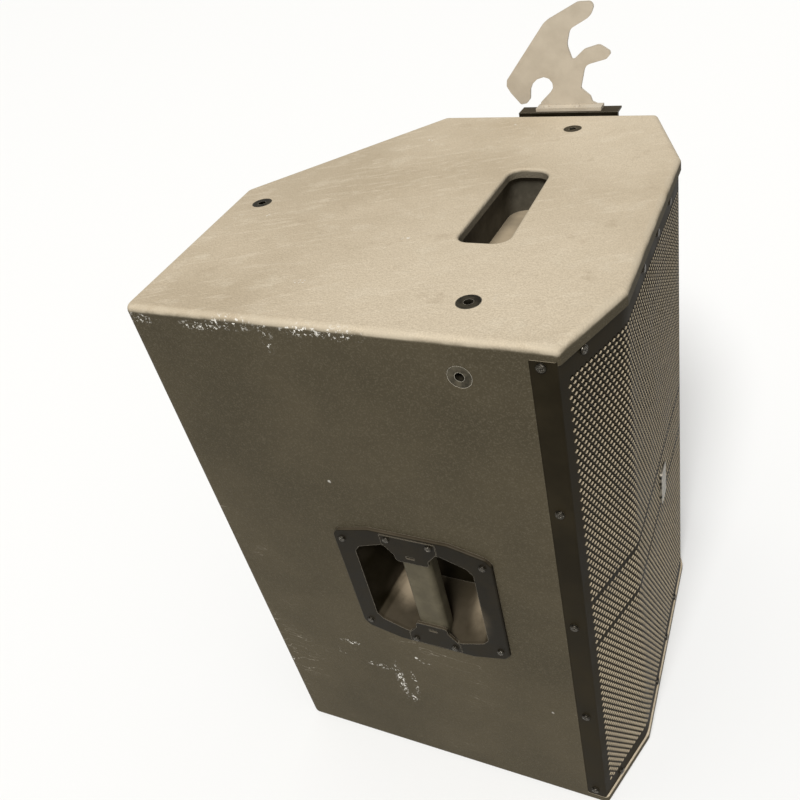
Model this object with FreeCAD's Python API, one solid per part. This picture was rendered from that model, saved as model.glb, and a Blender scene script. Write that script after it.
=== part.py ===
import FreeCAD, Part
import math
import os

# Two-way 15-inch stage monitor cabinet, standing on its end.
# +X leaves the baffle, -Y leaves the handle side, +Z is up. Millimetres.
# The origin is on the floor, under the middle of the whole object's plan.

V = FreeCAD.Vector

# ---------------------------------------------------------------- cabinet
cabinet_height = 664.0
cabinet_width = 482.0
near_side_length = 410.0
rear_length = 250.0
rear_angle = 99.0
floor_face_angle = 56.5
near_chamfer_width = 87.0
far_chamfer_width = 130.0
chamfer_angle = 20.0
panel_thickness = 15.0
corner_radius = 10.0
edge_radius = 7.0
front_corner_radius = 5.0

# ---------------------------------------------------------------- grille
grille_setback = 2.0
grille_thickness = 1.5
grille_flange_width = 21.0
grille_top_rebate = 3.5
grille_gap = 0.5
grille_batten = 14.0
foam_thickness = 8.0
strip_screw_inset = 12.0
strip_screw_top = 17.4
strip_screw_bottom = 27.5
strip_screw_count = 5
border_screw_drop = 8.0
chamfer_screw_place = 32.0
front_screw_count = 3

# ---------------------------------------------------------------- baffle
baffle_setback = 54.0
baffle_thickness = 18.0
cleat_size = 18.0
driver_axis_y = cabinet_width / 2

# ---------------------------------------------------------------- woofer
woofer_margin = 14.5
woofer_flange_radius = 193.5
woofer_flange_height = 6.0
woofer_cutout_radius = 178.0
basket_seat_radius = 164.0
basket_wall = 6.0
cone_edge_radius = 147.0
cone_depth = 68.0
cone_thickness = 1.6
roll_height = 9.0
surround_thickness = 1.2
gasket_height = 4.0
former_radius = 38.0
former_wall = 0.8
winding_height = 1.3
winding_length = 18.0
spider_radius = 98.0
spider_depth = 76.0
magnet_radius = 95.0
magnet_height = 22.0
motor_plate_height = 8.0
pole_radius = 35.5
gap_outer_radius = 40.8
motor_front = 100.0
woofer_bolt_count = 8
woofer_bolt_circle = 185.5
glue_line = 0.3
woofer_axis_z = panel_thickness + woofer_margin + woofer_flange_radius

# ---------------------------------------------------------------- horn
horn_margin = 28.0
horn_flange_width = 288.0
horn_flange_height = 196.0
horn_flange_thickness = 6.0
horn_mouth_width = 250.0
horn_mouth_height = 158.0
horn_depth = 110.0
horn_wall = 3.0
horn_throat = 36.0
compression_radius = 60.0
diaphragm_radius = 32.0
diaphragm_gap = 1.2
horn_axis_z = cabinet_height - panel_thickness - horn_margin - horn_flange_height / 2

# ---------------------------------------------------------------- ports
port_radius = 31.0
port_wall = 3.0
port_length = 120.0
port_flange_radius = 37.5
port_flange_height = 2.5
port_edge_distance = 54.5

# ---------------------------------------------------------------- side handle
handle_from_front = 174.0
handle_above_middle = 3.0
handle_half_width = 86.5
handle_half_height = 88.0
handle_bow = 10.0
handle_rim = 19.0
handle_side_rim = 21.5
handle_proud = 3.5
handle_depth = 62.0
handle_wall = 3.0
grip_half_width = 17.0
grip_depth = 24.0
cap_half_width = 30.0
cap_reach = 38.0
cap_thickness = 3.0
cap_proud = 0.6
handle_centre_x = near_side_length - handle_from_front
handle_centre_z = cabinet_height / 2 + handle_above_middle

# ---------------------------------------------------------------- hand slot
slot_centre_x = near_side_length - 118.0
slot_centre_y = cabinet_width / 2 - 9.0
slot_width = 52.0
slot_length = 164.0
slot_radius = 14.0
slot_taper = 6.0
slot_far_radius = 19.0
slot_lip_radius = 4.0
slot_lip_depth = 10.0
slot_cup_margin = 6.0
slot_cup_wall = 3.0
slot_cup_depth = 52.0

# ---------------------------------------------------------------- rigging
insert_flange_radius = 10.8
insert_flange_height = 1.5
insert_body_radius = 8.0
insert_length = 24.0
m10_minor_radius = 4.25
top_insert_places = ((6.0, rear_length - 37.0), (near_side_length - 89.5, 51.5),
                     (near_side_length - 108.0, cabinet_width - 48.0))
side_insert_x = near_side_length - 82.5
side_insert_drop = 36.0

# ---------------------------------------------------------------- hook plate
hook_centre_x = near_side_length - 130.0
hook_thickness = 4.0
hook_reach = 22.0
hook_foot_rise = 3.0
hook_foot_start = -40.0
hook_foot_end = 44.0
bracket_thickness = 4.0
bracket_flange_thickness = 2.0
bracket_start = -62.0
bracket_end = 66.0
bracket_drop = 60.0
hook_rivet_places = (-28.0, 12.0)
rivet_shank_radius = 2.4
rivet_head_radius = 4.2
rivet_head_height = 2.0
rivet_hole_clearance = 0.1
hook_bolt_places = (hook_centre_x - 32.0, hook_centre_x + 34.0)
m10_radius = 5.0
m10_head_radius = 8.5
m10_head_height = 6.0

# ---------------------------------------------------------------- base and rear
pole_centre_x = near_side_length / 2
pole_radius_inside = 18.0
pole_socket_wall = 2.5
pole_socket_depth = 84.0
pole_plate_size = 110.0
pole_plate_thickness = 3.0
connector_plate_width = 96.0
connector_plate_height = 132.0
connector_plate_thickness = 2.0
connector_centre_z = 150.0
socket_pitch = 56.0
socket_radius = 12.0
socket_bore = 9.0
foot_radius = 19.0
foot_height = 11.0
foot_inset = 42.0
foot_height_inset = 70.0

screw_clearance = 0.2
fit_gap = 0.3

# ---------------------------------------------------------------- screws
# each as head radius, head height, shank radius and length
grille_screw_size = (4.2, 2.4, 1.9, 13.0)
handle_screw_size = (3.6, 1.8, 1.8, 16.0)
pole_screw_size = (4.0, 1.0, 2.0, 11.0)
connector_screw_size = (3.4, 1.6, 1.6, 13.0)
foot_screw_size = (5.0, 3.0, 2.4, 19.0)
woofer_bolt_size = (4.6, 3.2, 2.6, 26.0)
horn_screw_size = (4.2, 2.6, 2.0, 15.0)
crossover_screw_size = (3.0, 1.8, 1.5, 7.0)
screw_hole_overrun = 1.0

# ---------------------------------------------------------------- badge
badge_width = 26.0
badge_height = 48.0
badge_thickness = 2.2
badge_corner = 5.0
badge_offset = 1.5
badge_drop = 11.0

# ---------------------------------------------------------------- side handle details
bowl_corner = 6.0
bowl_side_draft = 12.0
bowl_end_draft = 14.0
cap_rim = 3.0
cap_neck_margin = 1.5
cap_taper = 14.0
cap_mark_width = 9.0
cap_mark_height = 3.5
cap_mark_depth = 0.6
grip_draft = 3.0
grip_overlap = 4.0
handle_screw_corner = (76.5, 66.0)
handle_screw_middle = (23.0, 79.5)

# ---------------------------------------------------------------- connector sockets
socket_flange_width = 26.0
socket_flange_height = 31.0
socket_flange_thickness = 2.4
socket_body_length = 26.0
socket_depth = 18.0
socket_core_radius = 5.6
connector_window_margins = (34.0, 24.0)

# ---------------------------------------------------------------- brace windows
brace_thickness = 12.0
brace_depth = 78.0
brace_from_baffle = 163.7
brace_below_driver = 26.0
brace_window_length = 80.0
brace_window_pitch = 108.0
brace_window_margin = 20.0
brace_window_corner = 12.0

# ---------------------------------------------------------------- crossover
board_width = 104.0
board_length = 164.0
board_thickness = 1.6
board_rise = 9.0
board_from_rear = 82.0
board_from_near = 140.0
post_radius = 4.0
capacitor_radius = 9.0
capacitor_length = 34.0
capacitor_places = ((-38.0, -26.0), (-15.0, -26.0), (10.0, -26.0), (34.0, -20.0))
resistor_width = 9.0
resistor_length = 34.0
resistor_places = ((22.0, 55.0), (36.0, 55.0))
# each coil as outer radius, inner radius, height and its place on the board
coil_sizes = ((24.0, 11.0, 22.0, -18.0, 48.0), (19.0, 9.0, 18.0, 26.0, 16.0), (14.0, 6.0, 15.0, -30.0, 0.0))

# ---------------------------------------------------------------- wadding
wadding_thickness = 22.0
wadding_margin = 36.0
wadding_corner = 12.0
wadding_above_connector = 34.0
wadding_below_top = 30.0


# ================================================================ helpers
def box(x0, x1, y0, y1, z0, z1):
    return Part.makeBox(x1 - x0, y1 - y0, z1 - z0, V(x0, y0, z0))


def cylinder(radius, z0, z1, x=0.0, y=0.0):
    return Part.makeCylinder(radius, z1 - z0, V(x, y, z0))


def rounded_wire(points, radius, z=0.0):
    """A closed wire through points with every corner rounded; radius is one value or one per corner."""
    corners = [V(p[0], p[1], z) for p in points]
    count = len(corners)
    radii = radius if isinstance(radius, (list, tuple)) else [radius] * count
    starts = []
    ends = []
    middles = []
    for i, corner in enumerate(corners):
        back = (corners[i - 1] - corner).normalize()
        ahead = (corners[(i + 1) % count] - corner).normalize()
        half = back.getAngle(ahead) / 2.0
        reach = radii[i] / math.tan(half)
        starts.append(corner + back * reach)
        ends.append(corner + ahead * reach)
        bisector = (back + ahead).normalize()
        middles.append(corner + bisector * (radii[i] / math.sin(half) - radii[i]))
    edges = []
    for i in range(count):
        if radii[i] > 0.01:
            edges.append(Part.Arc(starts[i], middles[i], ends[i]).toShape())
        following = (i + 1) % count
        if (starts[following] - ends[i]).Length > 1e-6:
            edges.append(Part.LineSegment(ends[i], starts[following]).toShape())
    return Part.Wire(edges)


def prism(points, z0, z1, radius=0.0):
    return Part.Face(rounded_wire(points, radius, z0)).extrude(V(0, 0, z1 - z0))


def rectangle(width, height, x=0.0, y=0.0):
    w = width / 2.0
    h = height / 2.0
    return [(x - w, y - h), (x + w, y - h), (x + w, y + h), (x - w, y + h)]


def revolved(points, angle=360.0):
    """Turns a closed outline of (radius, height) points about Z."""
    corners = [V(r, 0, z) for r, z in points]
    face = Part.Face(Part.makePolygon(corners + [corners[0]]))
    return face.revolve(V(0, 0, 0), V(0, 0, 1), angle)


def turned(shape, degrees):
    copy = shape.copy()
    copy.rotate(V(0, 0, 0), V(0, 0, 1), degrees)
    return copy


def moved(shape, x, y, z):
    copy = shape.copy()
    copy.translate(V(x, y, z))
    return copy


def on_face(shape, corner, normal_angle):
    """Takes local X along a wall, Y up and Z outwards; corner is the wall's local origin."""
    a = math.radians(normal_angle)
    out = V(math.cos(a), math.sin(a), 0)
    up = V(0, 0, 1)
    along = up.cross(out)
    matrix = FreeCAD.Matrix(
        along.x, up.x, out.x, corner.x,
        along.y, up.y, out.y, corner.y,
        along.z, up.z, out.z, corner.z,
        0, 0, 0, 1)
    copy = shape.copy()
    copy.Placement = FreeCAD.Placement(matrix).multiply(copy.Placement)
    return copy


def meet(p, p_dir, q, q_dir):
    """Where two plan lines cross."""
    cross = p_dir.x * q_dir.y - p_dir.y * q_dir.x
    t = ((q.x - p.x) * q_dir.y - (q.y - p.y) * q_dir.x) / cross
    return p + p_dir * t


def inset(points, distances):
    """The plan polygon with each edge i..i+1 moved inwards by its own distance (clockwise plan)."""
    count = len(points)
    lines = []
    for i in range(count):
        direction = (points[(i + 1) % count] - points[i]).normalize()
        inward = V(direction.y, -direction.x, 0)
        lines.append((points[i] + inward * distances[i], direction))
    return [meet(*lines[i - 1], *lines[i]) for i in range(count)]


def cut_all(shape, tools):
    for tool in tools:
        shape = shape.cut(tool)
    return shape


def pan_screw(head_radius, head_height, shank_radius, length):
    """A pan-head screw along Z with its head's underside at 0 and a cross recess."""
    head = cylinder(head_radius, 0, head_height)
    rim = [e for e in head.Edges if abs(e.BoundBox.ZMin - head_height) < 1e-6 and len(e.Vertexes) == 1]
    head = head.makeFillet(head_height * 0.6, rim)
    slot = head_radius * 0.55
    blade = head_radius * 0.12
    for width, height in ((slot, blade), (blade, slot)):
        head = head.cut(box(-width, width, -height, height, head_height * 0.45, head_height + 1))
    return head.fuse(cylinder(shank_radius, -length, 0)).removeSplitter()


def screw_hole(size):
    """The clearance hole for a pan-head screw whose head's underside is at 0."""
    head_radius, head_height, shank_radius, length = size
    return cylinder(shank_radius + screw_clearance, -length - screw_hole_overrun, head_height)


def save(name, shape):
    solids = shape.Solids
    whole = solids[0] if len(solids) == 1 else Part.makeCompound(solids)
    whole.exportStep("parts/" + name + ".step")
    print(name, len(solids), "valid" if whole.isValid() else "INVALID", round(whole.Volume / 1000.0, 1))


os.makedirs("parts", exist_ok=True)

# ================================================================ plan of the cabinet
radians = math.radians
rear_direction = V(math.cos(radians(rear_angle)), math.sin(radians(rear_angle)), 0)
floor_direction = V(math.cos(radians(floor_face_angle)), math.sin(radians(floor_face_angle)), 0)
chamfer_slope = math.tan(radians(chamfer_angle))

near_rear = V(0, 0, 0)
rear_floor = near_rear + rear_direction * rear_length
floor_far = meet(rear_floor, floor_direction, V(0, cabinet_width, 0), V(1, 0, 0))
front_x = near_side_length + near_chamfer_width * chamfer_slope
near_front = V(near_side_length, 0, 0)
front_near = V(front_x, near_chamfer_width, 0)
front_far = V(front_x, cabinet_width - far_chamfer_width, 0)
far_front = V(front_x - far_chamfer_width * chamfer_slope, cabinet_width, 0)

hook_outer_y = cabinet_width + hook_reach
middle = V((rear_floor.x + front_x) / 2.0, (hook_outer_y - handle_proud) / 2.0, 0)


def plan(x, y, z=0.0):
    """A point given from the near rear corner of the cabinet, in the object's own frame."""
    return V(x - middle.x, y - middle.y, z)


outer = [p - middle for p in (near_rear, rear_floor, floor_far, far_front, front_far, front_near, near_front)]
inner = inset(outer, [panel_thickness] * 7)
NEAR_REAR, REAR_FLOOR, FLOOR_FAR, FAR_FRONT, FRONT_FAR, FRONT_NEAR, NEAR_FRONT = range(7)

near_face = (plan(0, 0), -90.0)
far_face = (plan(0, cabinet_width), 90.0)
rear_face = (outer[REAR_FLOOR], rear_angle + 90.0)
floor_face = (outer[FLOOR_FAR], floor_face_angle + 90.0)
front_face = (outer[FRONT_NEAR], 0.0)
near_chamfer_face = (outer[NEAR_FRONT], -chamfer_angle)
far_chamfer_face = (outer[FRONT_FAR], chamfer_angle)

floor_length = (floor_far - rear_floor).Length
far_side_length = (far_front - floor_far).Length
inside_bottom = panel_thickness
inside_top = cabinet_height - panel_thickness
baffle_front_x = front_x - baffle_setback
baffle_front = plan(baffle_front_x, driver_axis_y).x
axis_y = plan(0, driver_axis_y).y


def facing_front(shape, y, z):
    """Local Z becomes +X, with the local origin on the baffle's front face."""
    return on_face(shape, V(baffle_front, y, z), 0.0)


# ================================================================ grille, its battens and foam
grille_bottom = inside_bottom + grille_gap
grille_top = inside_top + grille_top_rebate - grille_gap
grille_plan = [0, 0, 0, grille_setback, grille_setback, grille_setback, 0]
sheet_outer = inset(outer, grille_plan)
foam_outer = inset(outer, [0, 0, panel_thickness + fit_gap] + [grille_setback + grille_thickness] * 3
                   + [panel_thickness + fit_gap])
foam_inner = inset(outer, [0, 0, panel_thickness + fit_gap]
                   + [grille_setback + grille_thickness + foam_thickness] * 3
                   + [panel_thickness + fit_gap])
batten_outer = inset(outer, [0, 0, panel_thickness] + [grille_setback + grille_thickness] * 3
                     + [panel_thickness])
batten_inner = inset(outer, [0, 0, panel_thickness]
                     + [grille_setback + grille_thickness + grille_batten] * 3
                     + [panel_thickness])
near_strip_start = sheet_outer[NEAR_FRONT].x - grille_flange_width
far_strip_start = sheet_outer[FAR_FRONT].x - grille_flange_width
sheet_y = (outer[NEAR_FRONT].y, outer[FAR_FRONT].y)


def bent_sheet_outline(grow=0.0):
    """The grille's plan: two side flanges and three front faces of one folded sheet, or its groove."""
    outside = inset(outer, [d - grow for d in grille_plan])
    inside = inset(outer, [d + grille_thickness + grow for d in grille_plan])
    order = (NEAR_FRONT, FRONT_NEAR, FRONT_FAR, FAR_FRONT)
    points = [(near_strip_start - grow, outside[NEAR_FRONT].y)]
    points += [(outside[i].x, outside[i].y) for i in order]
    points += [(far_strip_start - grow, outside[FAR_FRONT].y)]
    points += [(far_strip_start - grow, inside[FAR_FRONT].y)]
    points += [(inside[i].x, inside[i].y) for i in reversed(order)]
    points += [(near_strip_start - grow, inside[NEAR_FRONT].y)]
    return points


def front_band(outer_line, inner_line, z0, z1):
    """A band of the three front faces between two inset plans."""
    order = (NEAR_FRONT, FRONT_NEAR, FRONT_FAR, FAR_FRONT)
    outline = [(outer_line[i].x, outer_line[i].y) for i in order]
    outline += [(inner_line[i].x, inner_line[i].y) for i in reversed(order)]
    return prism(outline, z0, z1)


def strip_screw_heights():
    top = cabinet_height - strip_screw_top
    step = (top - strip_screw_bottom) / (strip_screw_count - 1)
    return [strip_screw_bottom + step * i for i in range(strip_screw_count)]


def grille_screw_spots():
    """Each screw's place as (wall, distance along it, height)."""
    spots = []
    near_u = sheet_outer[NEAR_FRONT].x - near_face[0].x - strip_screw_inset
    far_u = -(sheet_outer[FAR_FRONT].x - far_face[0].x - strip_screw_inset)
    for height in strip_screw_heights():
        spots.append((near_face, near_u, height, 0.0))
        spots.append((far_face, far_u, height, 0.0))
    front_width = (outer[FRONT_FAR] - outer[FRONT_NEAR]).Length
    chamfer_length = (outer[FAR_FRONT] - outer[FRONT_FAR]).Length
    for height in (grille_top - border_screw_drop, grille_bottom + border_screw_drop):
        spots.append((near_chamfer_face, chamfer_screw_place, height, -grille_setback))
        spots.append((far_chamfer_face, chamfer_length - chamfer_screw_place, height, -grille_setback))
        for i in range(front_screw_count):
            along = front_width * (i + 1) / (front_screw_count + 1)
            spots.append((front_face, along, height, -grille_setback))
    return spots


def at_spot(shape, spot):
    wall, along, height, out = spot
    return on_face(moved(shape, along, height, out), *wall)


grille_screw = pan_screw(*grille_screw_size)
grille_hole = screw_hole(grille_screw_size)
grille_spots = grille_screw_spots()
grille_holes = [at_spot(grille_hole, spot) for spot in grille_spots]

sheet = prism(bent_sheet_outline(), grille_bottom, grille_top)
save("grille", cut_all(sheet, grille_holes))
save("grille_screws", Part.makeCompound([at_spot(grille_screw, spot) for spot in grille_spots]))

batten_bottom = front_band(batten_outer, batten_inner, inside_bottom, inside_bottom + grille_batten)
batten_top = front_band(batten_outer, batten_inner, inside_top - grille_batten, inside_top)
baffle_room = box(-1000, baffle_front, -1000, 1000, 0, 2000)
save("grille_battens", Part.makeCompound(
    [cut_all(batten, grille_holes + [baffle_room]) for batten in (batten_bottom, batten_top)]))
foam = front_band(foam_outer, foam_inner, inside_bottom + grille_batten + fit_gap,
                  inside_top - grille_batten - fit_gap)
port_room = box(-1000, baffle_front + port_flange_height + fit_gap, -1000, 1000, 0, 2000)
save("grille_foam", foam.cut(port_room))

badge_centre_along = (outer[FRONT_FAR] - outer[FRONT_NEAR]).Length / 2 - badge_offset
badge_centre_height = cabinet_height / 2 - badge_drop
badge = prism(rectangle(badge_width, badge_height), 0.0, badge_thickness, badge_corner)
save("badge_plate", on_face(moved(badge, badge_centre_along, badge_centre_height, -grille_setback),
                            *front_face))

# ================================================================ shared cutters
insert_hole = cylinder(insert_body_radius + screw_clearance, -panel_thickness - 1, 1).fuse(
    cylinder(insert_flange_radius + screw_clearance, -insert_flange_height, 1))
side_insert_z = cabinet_height - side_insert_drop


def at_top(shape, x, y):
    return moved(shape, plan(x, y).x, plan(x, y).y, cabinet_height)


def at_near(shape, x, z, out=0.0):
    return on_face(moved(shape, x, z, out), *near_face)


def at_far(shape, x, z, out=0.0):
    return on_face(moved(shape, -x, z, out), *far_face)


insert_spots = [(at_top, place) for place in top_insert_places]
insert_spots.append((at_near, (side_insert_x, side_insert_z)))
insert_spots += [(at_far, (x, side_insert_z)) for x in hook_bolt_places]

# ================================================================ panels
front_insets = [panel_thickness] * 3 + [grille_setback + grille_thickness] * 3 + [panel_thickness]
ring_front = inset(outer, [0, 0, 0] + [grille_setback + grille_thickness] * 3 + [0])


def outline(points):
    return [(p.x, p.y) for p in points]


def end_panel(z0, z1, outside_z):
    """A whole-plan panel with its outer rim rounded."""
    radii = [corner_radius] * 3 + [front_corner_radius] * 4
    slab = prism(outline(outer), z0, z1, radii)
    rim = [e for e in slab.Edges if abs(e.BoundBox.ZMin - outside_z) < 1e-6
           and abs(e.BoundBox.ZMax - outside_z) < 1e-6]
    return slab.makeFillet(edge_radius, rim)


def wall_panel(end_a, end_b):
    """One upright panel of the ring, between the mitres or ends given as plan points."""
    shell = prism(outline(ring_front), inside_bottom, inside_top,
                  [corner_radius] * 3 + [0.0] * 4)
    hollow = prism(outline(inset(outer, front_insets)), inside_bottom - 1, inside_top + 1)
    ring = shell.cut(hollow)
    region = prism([end_a[0], end_a[1], end_b[1], end_b[0]], inside_bottom - 2, inside_top + 2)
    return ring.common(region)


def mitre(corner):
    """The mitre line through a corner, run a little past both faces."""
    across = outer[corner] - inner[corner]
    outside = outer[corner] + across * 0.5
    inside = inner[corner] - across * 0.02
    return (outside.x, outside.y), (inside.x, inside.y)


def square_end(corner, inward):
    """A square end past the front of a side panel."""
    reach = 60.0
    y_out = outer[corner].y - inward * 5.0
    y_in = outer[corner].y + inward * (panel_thickness + 0.01)
    return (outer[corner].x + reach, y_out), (outer[corner].x + reach, y_in)


near_panel = wall_panel(mitre(NEAR_REAR), square_end(NEAR_FRONT, 1.0))
far_panel = wall_panel(mitre(FLOOR_FAR), square_end(FAR_FRONT, -1.0))
rear_panel = wall_panel(mitre(NEAR_REAR), mitre(REAR_FLOOR))
floor_panel = wall_panel(mitre(REAR_FLOOR), mitre(FLOOR_FAR))

strip_room = [
    box(near_strip_start - grille_gap, outer[NEAR_FRONT].x + 5, sheet_y[0] - 5,
        sheet_y[0] + grille_thickness, inside_bottom - 1, inside_top + 1),
    box(far_strip_start - grille_gap, outer[FAR_FRONT].x + 25, sheet_y[1] - grille_thickness,
        sheet_y[1] + 5, inside_bottom - 1, inside_top + 1)]
near_panel = near_panel.cut(strip_room[0])
far_panel = far_panel.cut(strip_room[1])


def drilled(panel, spots, hole):
    return cut_all(panel, [place(hole, *where) for place, where in spots])


slot_centre = plan(slot_centre_x, slot_centre_y)
slot_outline = rectangle(slot_width, slot_length, slot_centre.x, slot_centre.y)
slot_outline[2] = (slot_outline[2][0] - slot_taper, slot_outline[2][1])
slot_radii = [slot_radius, slot_radius, slot_far_radius, slot_radius]
cup_outline = rectangle(slot_width + 2 * slot_cup_margin, slot_length + 2 * slot_cup_margin,
                        slot_centre.x, slot_centre.y)
cup_reach = slot_cup_margin + slot_cup_wall
cup_outer_outline = rectangle(slot_width + 2 * cup_reach, slot_length + 2 * cup_reach,
                              slot_centre.x, slot_centre.y)
cup_top = cabinet_height - slot_lip_depth
cup_floor = cabinet_height - slot_cup_depth
cup_radius = slot_radius + slot_cup_margin

top_panel = end_panel(inside_top, cabinet_height, cabinet_height)
grille_groove = prism(bent_sheet_outline(grille_gap), inside_top - 1, inside_top + grille_top_rebate)
top_panel = top_panel.cut(grille_groove)
top_panel = drilled(top_panel, insert_spots[:3], insert_hole)
top_panel = top_panel.cut(prism(slot_outline, inside_top - 1, cabinet_height + 1, slot_radii))
slot_rim = [e for e in top_panel.Edges
            if abs(e.BoundBox.ZMin - cabinet_height) < 1e-6 and abs(e.BoundBox.ZMax - cabinet_height) < 1e-6
            and abs(e.BoundBox.Center.x - slot_centre.x) < slot_width / 2 + 0.1
            and abs(e.BoundBox.Center.y - slot_centre.y) < slot_length / 2 + 0.1]
top_panel = top_panel.makeFillet(slot_lip_radius, slot_rim)
top_panel = top_panel.cut(prism(cup_outer_outline, inside_top - 1, cup_top, cup_radius + slot_cup_wall))
save("top_panel", top_panel)

slot_cup = prism(cup_outer_outline, cup_floor - slot_cup_wall, cup_top, cup_radius + slot_cup_wall)
slot_cup = slot_cup.cut(prism(cup_outline, cup_floor, cup_top + 1, cup_radius))
save("hand_slot_cup", slot_cup)

pole_x = plan(pole_centre_x, 0).x
pole_plate_outline = rectangle(pole_plate_size, pole_plate_size, pole_x, axis_y)
pole_screw_reach = pole_plate_size / 2 - 11.0
pole_screw_spots = rectangle(2 * pole_screw_reach, 2 * pole_screw_reach, pole_x, axis_y)
pole_recess = pole_plate_thickness + 1.0
bottom_panel = end_panel(0.0, panel_thickness, 0.0)
bottom_panel = bottom_panel.cut(prism(rectangle(
    pole_plate_size + 2 * fit_gap, pole_plate_size + 2 * fit_gap, pole_x, axis_y), -1, pole_recess, 9.0))
bottom_panel = bottom_panel.cut(cylinder(
    pole_radius_inside + pole_socket_wall + fit_gap, -1, panel_thickness + 1, pole_x, axis_y))
pole_screw = pan_screw(*pole_screw_size)
pole_screw.rotate(V(0, 0, 0), V(1, 0, 0), 180)
pole_screw_z = pole_screw_size[1]
pole_screws = [moved(pole_screw, x, y, pole_screw_z) for x, y in pole_screw_spots]
pole_screw_holes = [cylinder(pole_screw_size[2] + screw_clearance, -1, 13, x, y)
                    for x, y in pole_screw_spots]
bottom_panel = cut_all(bottom_panel, pole_screw_holes)
save("bottom_panel", bottom_panel)

pole_socket = prism(pole_plate_outline, 1.0, pole_recess, 8.0)
pole_socket = pole_socket.fuse(cylinder(
    pole_radius_inside + pole_socket_wall, 1.0, pole_socket_depth + pole_socket_wall, pole_x, axis_y))
pole_socket = pole_socket.cut(cylinder(pole_radius_inside, 0, pole_socket_depth, pole_x, axis_y))
save("pole_socket", cut_all(pole_socket, pole_screw_holes))
save("pole_socket_screws", Part.makeCompound(pole_screws))

# ================================================================ side handle
def bowed_outline(half_width, half_height, bow):
    """Straight sides, with the top and bottom edges bowed out in three segments."""
    shoulder = half_width * 0.5
    corner = half_width - bow * 0.6
    upper = [(half_width, half_height - bow * 1.8), (corner, half_height - bow),
             (shoulder, half_height), (-shoulder, half_height), (-corner, half_height - bow),
             (-half_width, half_height - bow * 1.8)]
    return upper + [(-x, -y) for x, y in upper]


def at_handle(shape, out=0.0):
    return at_near(shape, handle_centre_x, handle_centre_z, out)


bowl_half_width = handle_half_width - handle_side_rim
bowl_half_height = handle_half_height - handle_rim
floor_half_width = bowl_half_width - bowl_side_draft
floor_half_height = bowl_half_height - bowl_end_draft


def bowl(grow, depth):
    """The recess as a solid, from above the rim down to a depth, grown sideways."""
    mouth_line = bowed_outline(bowl_half_width + grow, bowl_half_height + grow, handle_bow)
    floor_line = bowed_outline(floor_half_width + grow, floor_half_height + grow, handle_bow)
    mouth = rounded_wire(mouth_line, bowl_corner, 0.0)
    floor = rounded_wire(floor_line, bowl_corner, -depth)
    column = Part.Face(mouth).extrude(V(0, 0, handle_proud + 1.0))
    return Part.makeLoft([floor, mouth], True, True).fuse(column).removeSplitter()


handle_plate = prism(bowed_outline(handle_half_width, handle_half_height, handle_bow), 0.0,
                     handle_proud, bowl_corner)
plate_rim = [e for e in handle_plate.Edges if abs(e.BoundBox.ZMin - handle_proud) < 1e-6]
handle_plate = handle_plate.makeFillet(handle_proud * 0.5, plate_rim)
bowl_shell = bowl(handle_wall, handle_depth + handle_wall).common(box(-200, 200, -200, 200, -200, 1.0))
handle_cup = handle_plate.fuse(bowl_shell).cut(bowl(0.0, handle_depth))
cap_end = handle_half_height - cap_rim


def cap_outline(grow):
    """An end cap's outline at the upper rim: wide at the rim, narrower where it meets the bar."""
    reach = handle_half_height - cap_reach - grow
    neck = grip_half_width + cap_neck_margin + grow
    wide = cap_half_width + grow
    shoulder = bowl_half_height + cap_rim
    return [(-wide, cap_end + grow), (-wide, shoulder), (-neck, shoulder - cap_taper), (-neck, reach),
            (neck, reach), (neck, shoulder - cap_taper), (wide, shoulder), (wide, cap_end + grow)]


cap_radii = [1.5, 3.0, 4.0, 4.0, 4.0, 4.0, 3.0, 1.5]
cap_seat = handle_proud + cap_proud - cap_thickness
cap_notch = prism(cap_outline(fit_gap), cap_seat, handle_proud + 2, cap_radii)
cap = prism(cap_outline(0.0), cap_seat, handle_proud + cap_proud, cap_radii)
cap_mark_outline = rectangle(cap_mark_width, cap_mark_height, -1.0, handle_half_height - cap_reach + 8.0)
cap = cap.cut(prism(cap_mark_outline, handle_proud - cap_mark_depth, handle_proud + 2))
grip_length = 2 * bowl_half_height + grip_overlap
grip_top = cap_seat
grip_section = rounded_wire([(-grip_half_width, grip_top),
                             (-grip_half_width + grip_draft, grip_top - grip_depth),
                             (grip_half_width - grip_draft, grip_top - grip_depth),
                             (grip_half_width, grip_top)],
                            [6.0, 9.0, 9.0, 6.0])
grip = Part.Face(grip_section).extrude(V(0, 0, grip_length))
grip.rotate(V(0, 0, 0), V(1, 0, 0), 90)
grip = moved(grip, 0, grip_length / 2, 0).common(bowl(-fit_gap, handle_depth))
handle_screw = pan_screw(*handle_screw_size)
handle_hole = cylinder(handle_screw_size[2] + screw_clearance, -handle_screw_size[3] - screw_hole_overrun,
                       2 * handle_proud)
corner_spots = rectangle(2 * handle_screw_corner[0], 2 * handle_screw_corner[1])
middle_spots = rectangle(2 * handle_screw_middle[0], 2 * handle_screw_middle[1])
handle_holes = [moved(handle_hole, x, y, 0) for x, y in corner_spots + middle_spots]
caps = [cap, turned(cap, 180)]
notches = [cap_notch, turned(cap_notch, 180)]
handle_cup = cut_all(handle_cup, notches + handle_holes)
caps = [cut_all(c, handle_holes) for c in caps]
save("handle_cup", at_handle(handle_cup))
save("handle_grip", at_handle(grip))
save("handle_caps", at_handle(Part.makeCompound(caps)))
handle_screws = [moved(handle_screw, x, y, handle_proud) for x, y in corner_spots]
handle_screws += [moved(handle_screw, x, y, handle_proud + cap_proud) for x, y in middle_spots]
save("handle_screws", at_handle(Part.makeCompound(handle_screws)))

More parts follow.
